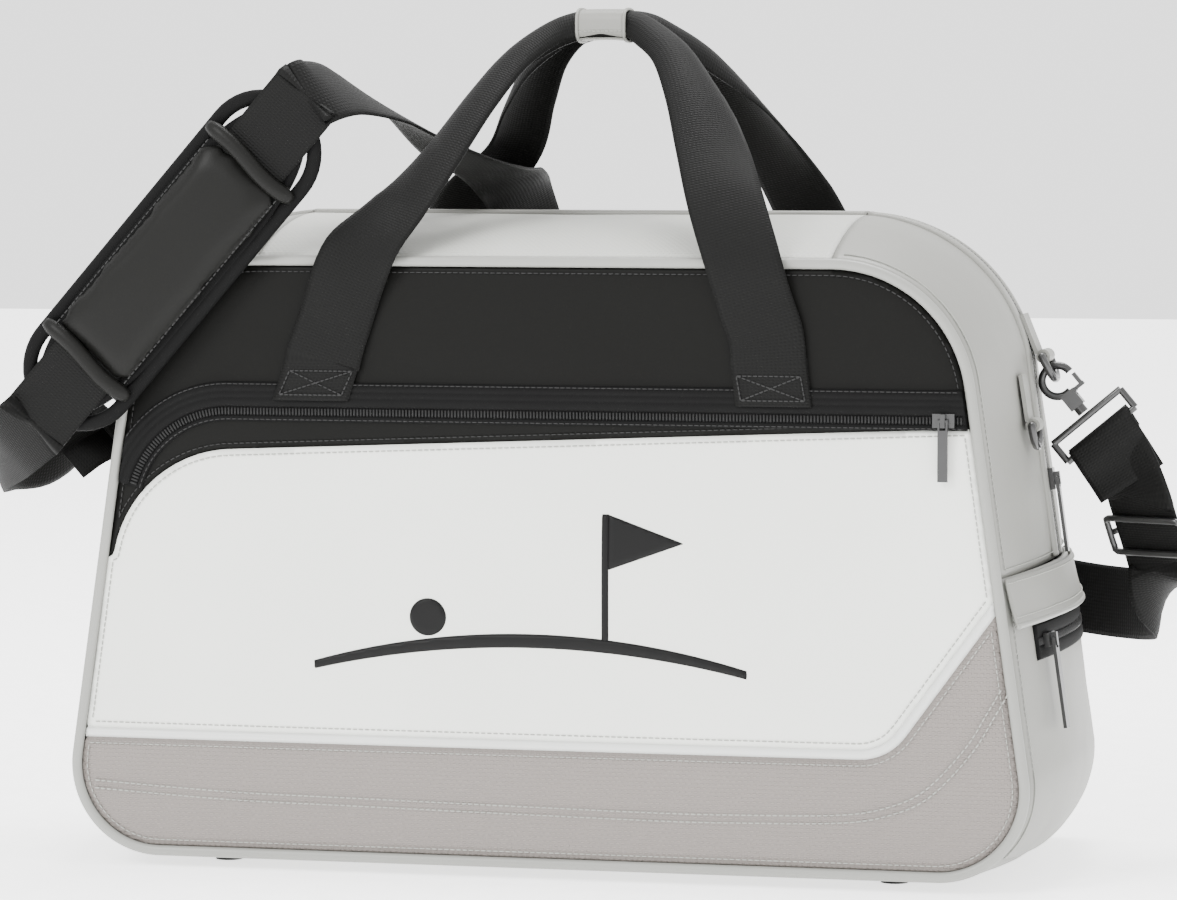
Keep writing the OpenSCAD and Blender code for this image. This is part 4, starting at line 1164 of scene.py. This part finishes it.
def make_main_zip_top():
    """The same parts along the free edges of the two top panels."""
    s = np.linspace(S_TOP + 0.5 * MM, S_END, 60)
    for word, coil_y, tape_y in (("front", 8.625, [6.0, 9.9]), ("rear", 11.375, [10.1, 14.0])):
        body = f"top_flap_{word}"
        ys, lifts = PLACKETS[word]
        outer, inner = (mirrored(strip_points(s, np.array(ys) * MM, lift, False))
                        for lift in (np.array(lifts) * MM + 0.3 * MM, -0.8 * MM))
        piece(f"soft_placket_top_{word}", *sheet_mesh(outer, inner), LIGHT_GREY, body, "pu_light_grey",
              [f"main_zip_tape_{word}"])
        xs = np.arange(-147, 147, 1.8) * MM
        z = TOP_Z + 20 * MM * bulge(coil_y * MM) + 0.6 * MM
        centres = np.stack([xs, np.full(len(xs), coil_y * MM), np.full(len(xs), z)], axis=1)
        teeth(f"soft_main_coil_top_{word}", centres, (0.0, 0, 1), 1.2 * MM, 0.7 * MM, body)
        grid = np.meshgrid(np.linspace(-147.6, 147.6, 20) * MM, np.array(tape_y) * MM, indexing="ij")
        top = np.stack([*grid, np.full((20, 2), z - 0.6 * MM)], axis=-1)[::-1]
        piece(f"soft_main_tape_top_{word}", *sheet_mesh(top, top - [0, 0, 0.8 * MM]), TAPE, body, "zip_tape",
              (), (0, 1))


# ---- Emblem and stitching on the pocket ------------------------------------------------------
EMBLEM_C = [-5.0, 125.0]
DOUBLE_ROW = [(-236, 41.8), (-164, 38), (-94, 36.7), (51, 34.4), (103, 34.6), (154, 36.2), (179, 41),
              (198, 50.5), (218, 72), (229, 90), (236, 102)]
def pocket_skin(points):
    """Height of the white panel's surface over its face plane, away from its seams."""
    places = np.stack([points[:, 0], np.zeros(len(points)), points[:, 1]], axis=1)
    ripple = 0.5 * MM * (drift(places, 14, 3) * 0.8 + drift(places, 45, 8) * 0.25)
    return 1.0 * MM + ripple + belly(points[:, 0], points[:, 1])


def film(loop, lift):
    """A thin piece of film over the white panel, bounded by a loop in millimetres."""
    loop = resample(np.concatenate([loop, loop[:1]]) * MM, 1.6 * MM)[:-1]
    flat, tris, edge = fill_loop(loop, 2 * MM, 0.8 * MM, 0)
    y = -HALF_DEPTH - pocket_skin(flat) - lift * np.clip(0.35 + edge / (0.8 * MM), 0, 1)
    front = np.stack([flat[:, 0], y, flat[:, 1]], axis=1)
    return close_panel(flat, tris, front, front + [0, 1.2 * MM, 0], -1)


def arc_height(x, radius):
    """Height of a circle's top at x, measured from its crest."""
    return math.sqrt(radius ** 2 - x * x) - radius


def make_emblem():
    """A ball beside a flag on a low hill."""
    hill_w, top_r, low_r, ball_r = 112, 400, 480, 9.5
    top = [(x, min(arc_height(x, top_r), 0)) for x in np.linspace(-hill_w, hill_w, 70)]
    low = [(x, arc_height(x, low_r) - 7) for x in np.linspace(hill_w, -hill_w, 70)]
    hill = np.array(top + [(x, z) for x, z in low if z < arc_height(x, top_r) - 0.4])
    ball = np.array([(-52 + ball_r * math.cos(a), 7.5 + ball_r * math.sin(a))
                     for a in np.linspace(0, 2 * math.pi, 40, endpoint=False)])
    pole = np.array([(38, -3), (41.5, -3), (41.5, 61), (38, 61)])
    pennant = np.array([(41, 61), (80, 47), (41, 33)])
    shapes = ((hill, 0.7), (ball, 0.85), (pole, 0.78), (pennant, 0.7))
    parts = [film(loop + EMBLEM_C, lift * MM) for loop, lift in shapes]
    piece("soft_emblem", *join_meshes(parts), FILM, "shell", "film_black", ["emblem"])


def offset_line(line, by):
    line = np.asarray(line, float)
    along = directions(line)
    return line + np.stack([-along[:, 1], along[:, 0]], axis=1) * by


def on_pocket(line, lift=0.15 * MM):
    return np.stack([line[:, 0], -HALF_DEPTH - pocket_skin(line) - lift, line[:, 1]], axis=1)


def good_runs(points, ok):
    """Stretches of more than three neighbouring points that are all ok."""
    runs, run = [], []
    for p, good in zip([*points, None], [*ok, False]):
        if good:
            run.append(p)
        else:
            if len(run) > 3:
                runs.append(np.array(run))
            run = []
    return runs


def stitch_pocket():
    """The double row across the lower panel, then one row inside the edge of each front panel."""
    smooth = curve(np.array(DOUBLE_ROW) * MM, 12)
    lines = [on_pocket(offset_line(smooth, by)) for by in (2.0 * MM, -2.0 * MM)]
    stitches("stitch_pocket_double", lines, [FORWARD] * 2, THREAD_GREY, "shell", "pu_embossed_grey",
             radius=0.42 * MM)
    for name, node, slot, thread in (("stitch_white", "pocket_panel_white", "pu_white", THREAD_GREY),
                                     ("stitch_lower", "pocket_panel_lower", "pu_embossed_grey", THREAD_GREY),
                                     ("stitch_upper", "front_panel_upper", "pu_black", THREAD_BLACK)):
        loop = face_loop(node, -HALF_DEPTH)
        dense = resample(np.concatenate([loop, loop[:1]]), 2 * MM)
        turn = np.sum(dense[:-1, 0] * dense[1:, 1] - dense[1:, 0] * dense[:-1, 1])
        moved = offset_line(dense, 3.0 * MM if turn > 0 else -3.0 * MM)
        runs = good_runs(moved, loop_distance(moved, loop) > 2.7 * MM)
        if name == "stitch_upper":
            lines = [np.array([(x, -HALF_DEPTH - 0.55 * MM, z) for x, z in run]) for run in runs]
        else:
            lines = [on_pocket(run, -0.45 * MM) for run in runs]
        stitches(name, lines, [FORWARD] * len(lines), thread, "shell", slot, radius=0.32 * MM)


def stitch_gussets():
    for side, word in SIDES:
        for level, pocket, s0, s1 in (("high", False, S_SEAM, S_TOP), ("low", True, S_CORNER, S_SEAM)):
            s = np.linspace(s0 + 4 * MM, s1 - 6 * MM, 70)
            rows = strip_points(s, np.array([-EDGE_Y + 4.5 * MM, EDGE_Y - 4.5 * MM]), -0.2 * MM, pocket, side)
            stitches(f"stitch_gusset_{word}_{level}", [rows[:, 0], rows[:, 1]],
                     [outline_normals(s, side)] * 2, THREAD_GREY, "shell", "pu_light_grey",
                     radius=0.3 * MM)
        y = np.linspace(-EDGE_Y + 5 * MM, EDGE_Y - 5 * MM, 60)
        row = strip_points(np.array([S_SEAM + 4 * MM]), y, -0.1 * MM, False, side)[0]
        stitches(f"stitch_seam_{word}", [row], [side_normal(side)], THREAD_GREY, "shell", "pu_light_grey",
                 radius=0.3 * MM)


def bevel(node, width):
    modifier = frame["nodes"][node].modifiers.new("bevel", "BEVEL")
    modifier.width = width
    modifier.segments = 3
    modifier.limit_method = "ANGLE"
    modifier.angle_limit = math.radians(40)


make_camera()
make_studio()
make_gussets()
make_base()
make_top()
make_faces()
make_piping()
make_handles()
make_keeper()
make_strap()
make_glide()
make_pad()
make_front_zip()
make_side_zip()
make_side_flap()
make_main_zip_sides()
make_main_zip_top()
make_emblem()
stitch_pocket()
stitch_gussets()
for hard in ("front_zip_slider", "side_zip_slider", "main_zip_slider", "front_zip_pull", "side_zip_pull",
             "main_zip_pull", "hook_right", "hook_left", "hook_gate_right", "hook_gate_left"):
    bevel(hard, 0.5 * MM)
for tab in ("strap_tab_right", "strap_tab_left", "accessory_tab"):
    bevel(tab, 0.6 * MM)

bpy.ops.mesh.primitive_plane_add(size=14)
floor = bpy.context.object
floor.name = "floor"
floor.data.materials.append(FLOOR)

own = {"webbing_black": WEBBING, "hardware_black": HARDWARE, "pad_black": PAD_BLACK, "lining": LINING,
       "board": BOARD, "foot_rubber": RUBBER, "pu_light_grey": LIGHT_GREY, "film_black": FILM,
       "zip_tape": TAPE, "zip_coil": COIL, "pu_black": BLACK}
for part in frame["record"]["subparts"]:
    if part["material_slot"] in own:
        node = frame["nodes"][part["node"]]
        node.data.materials.clear()
        node.data.materials.append(own[part["material_slot"]])
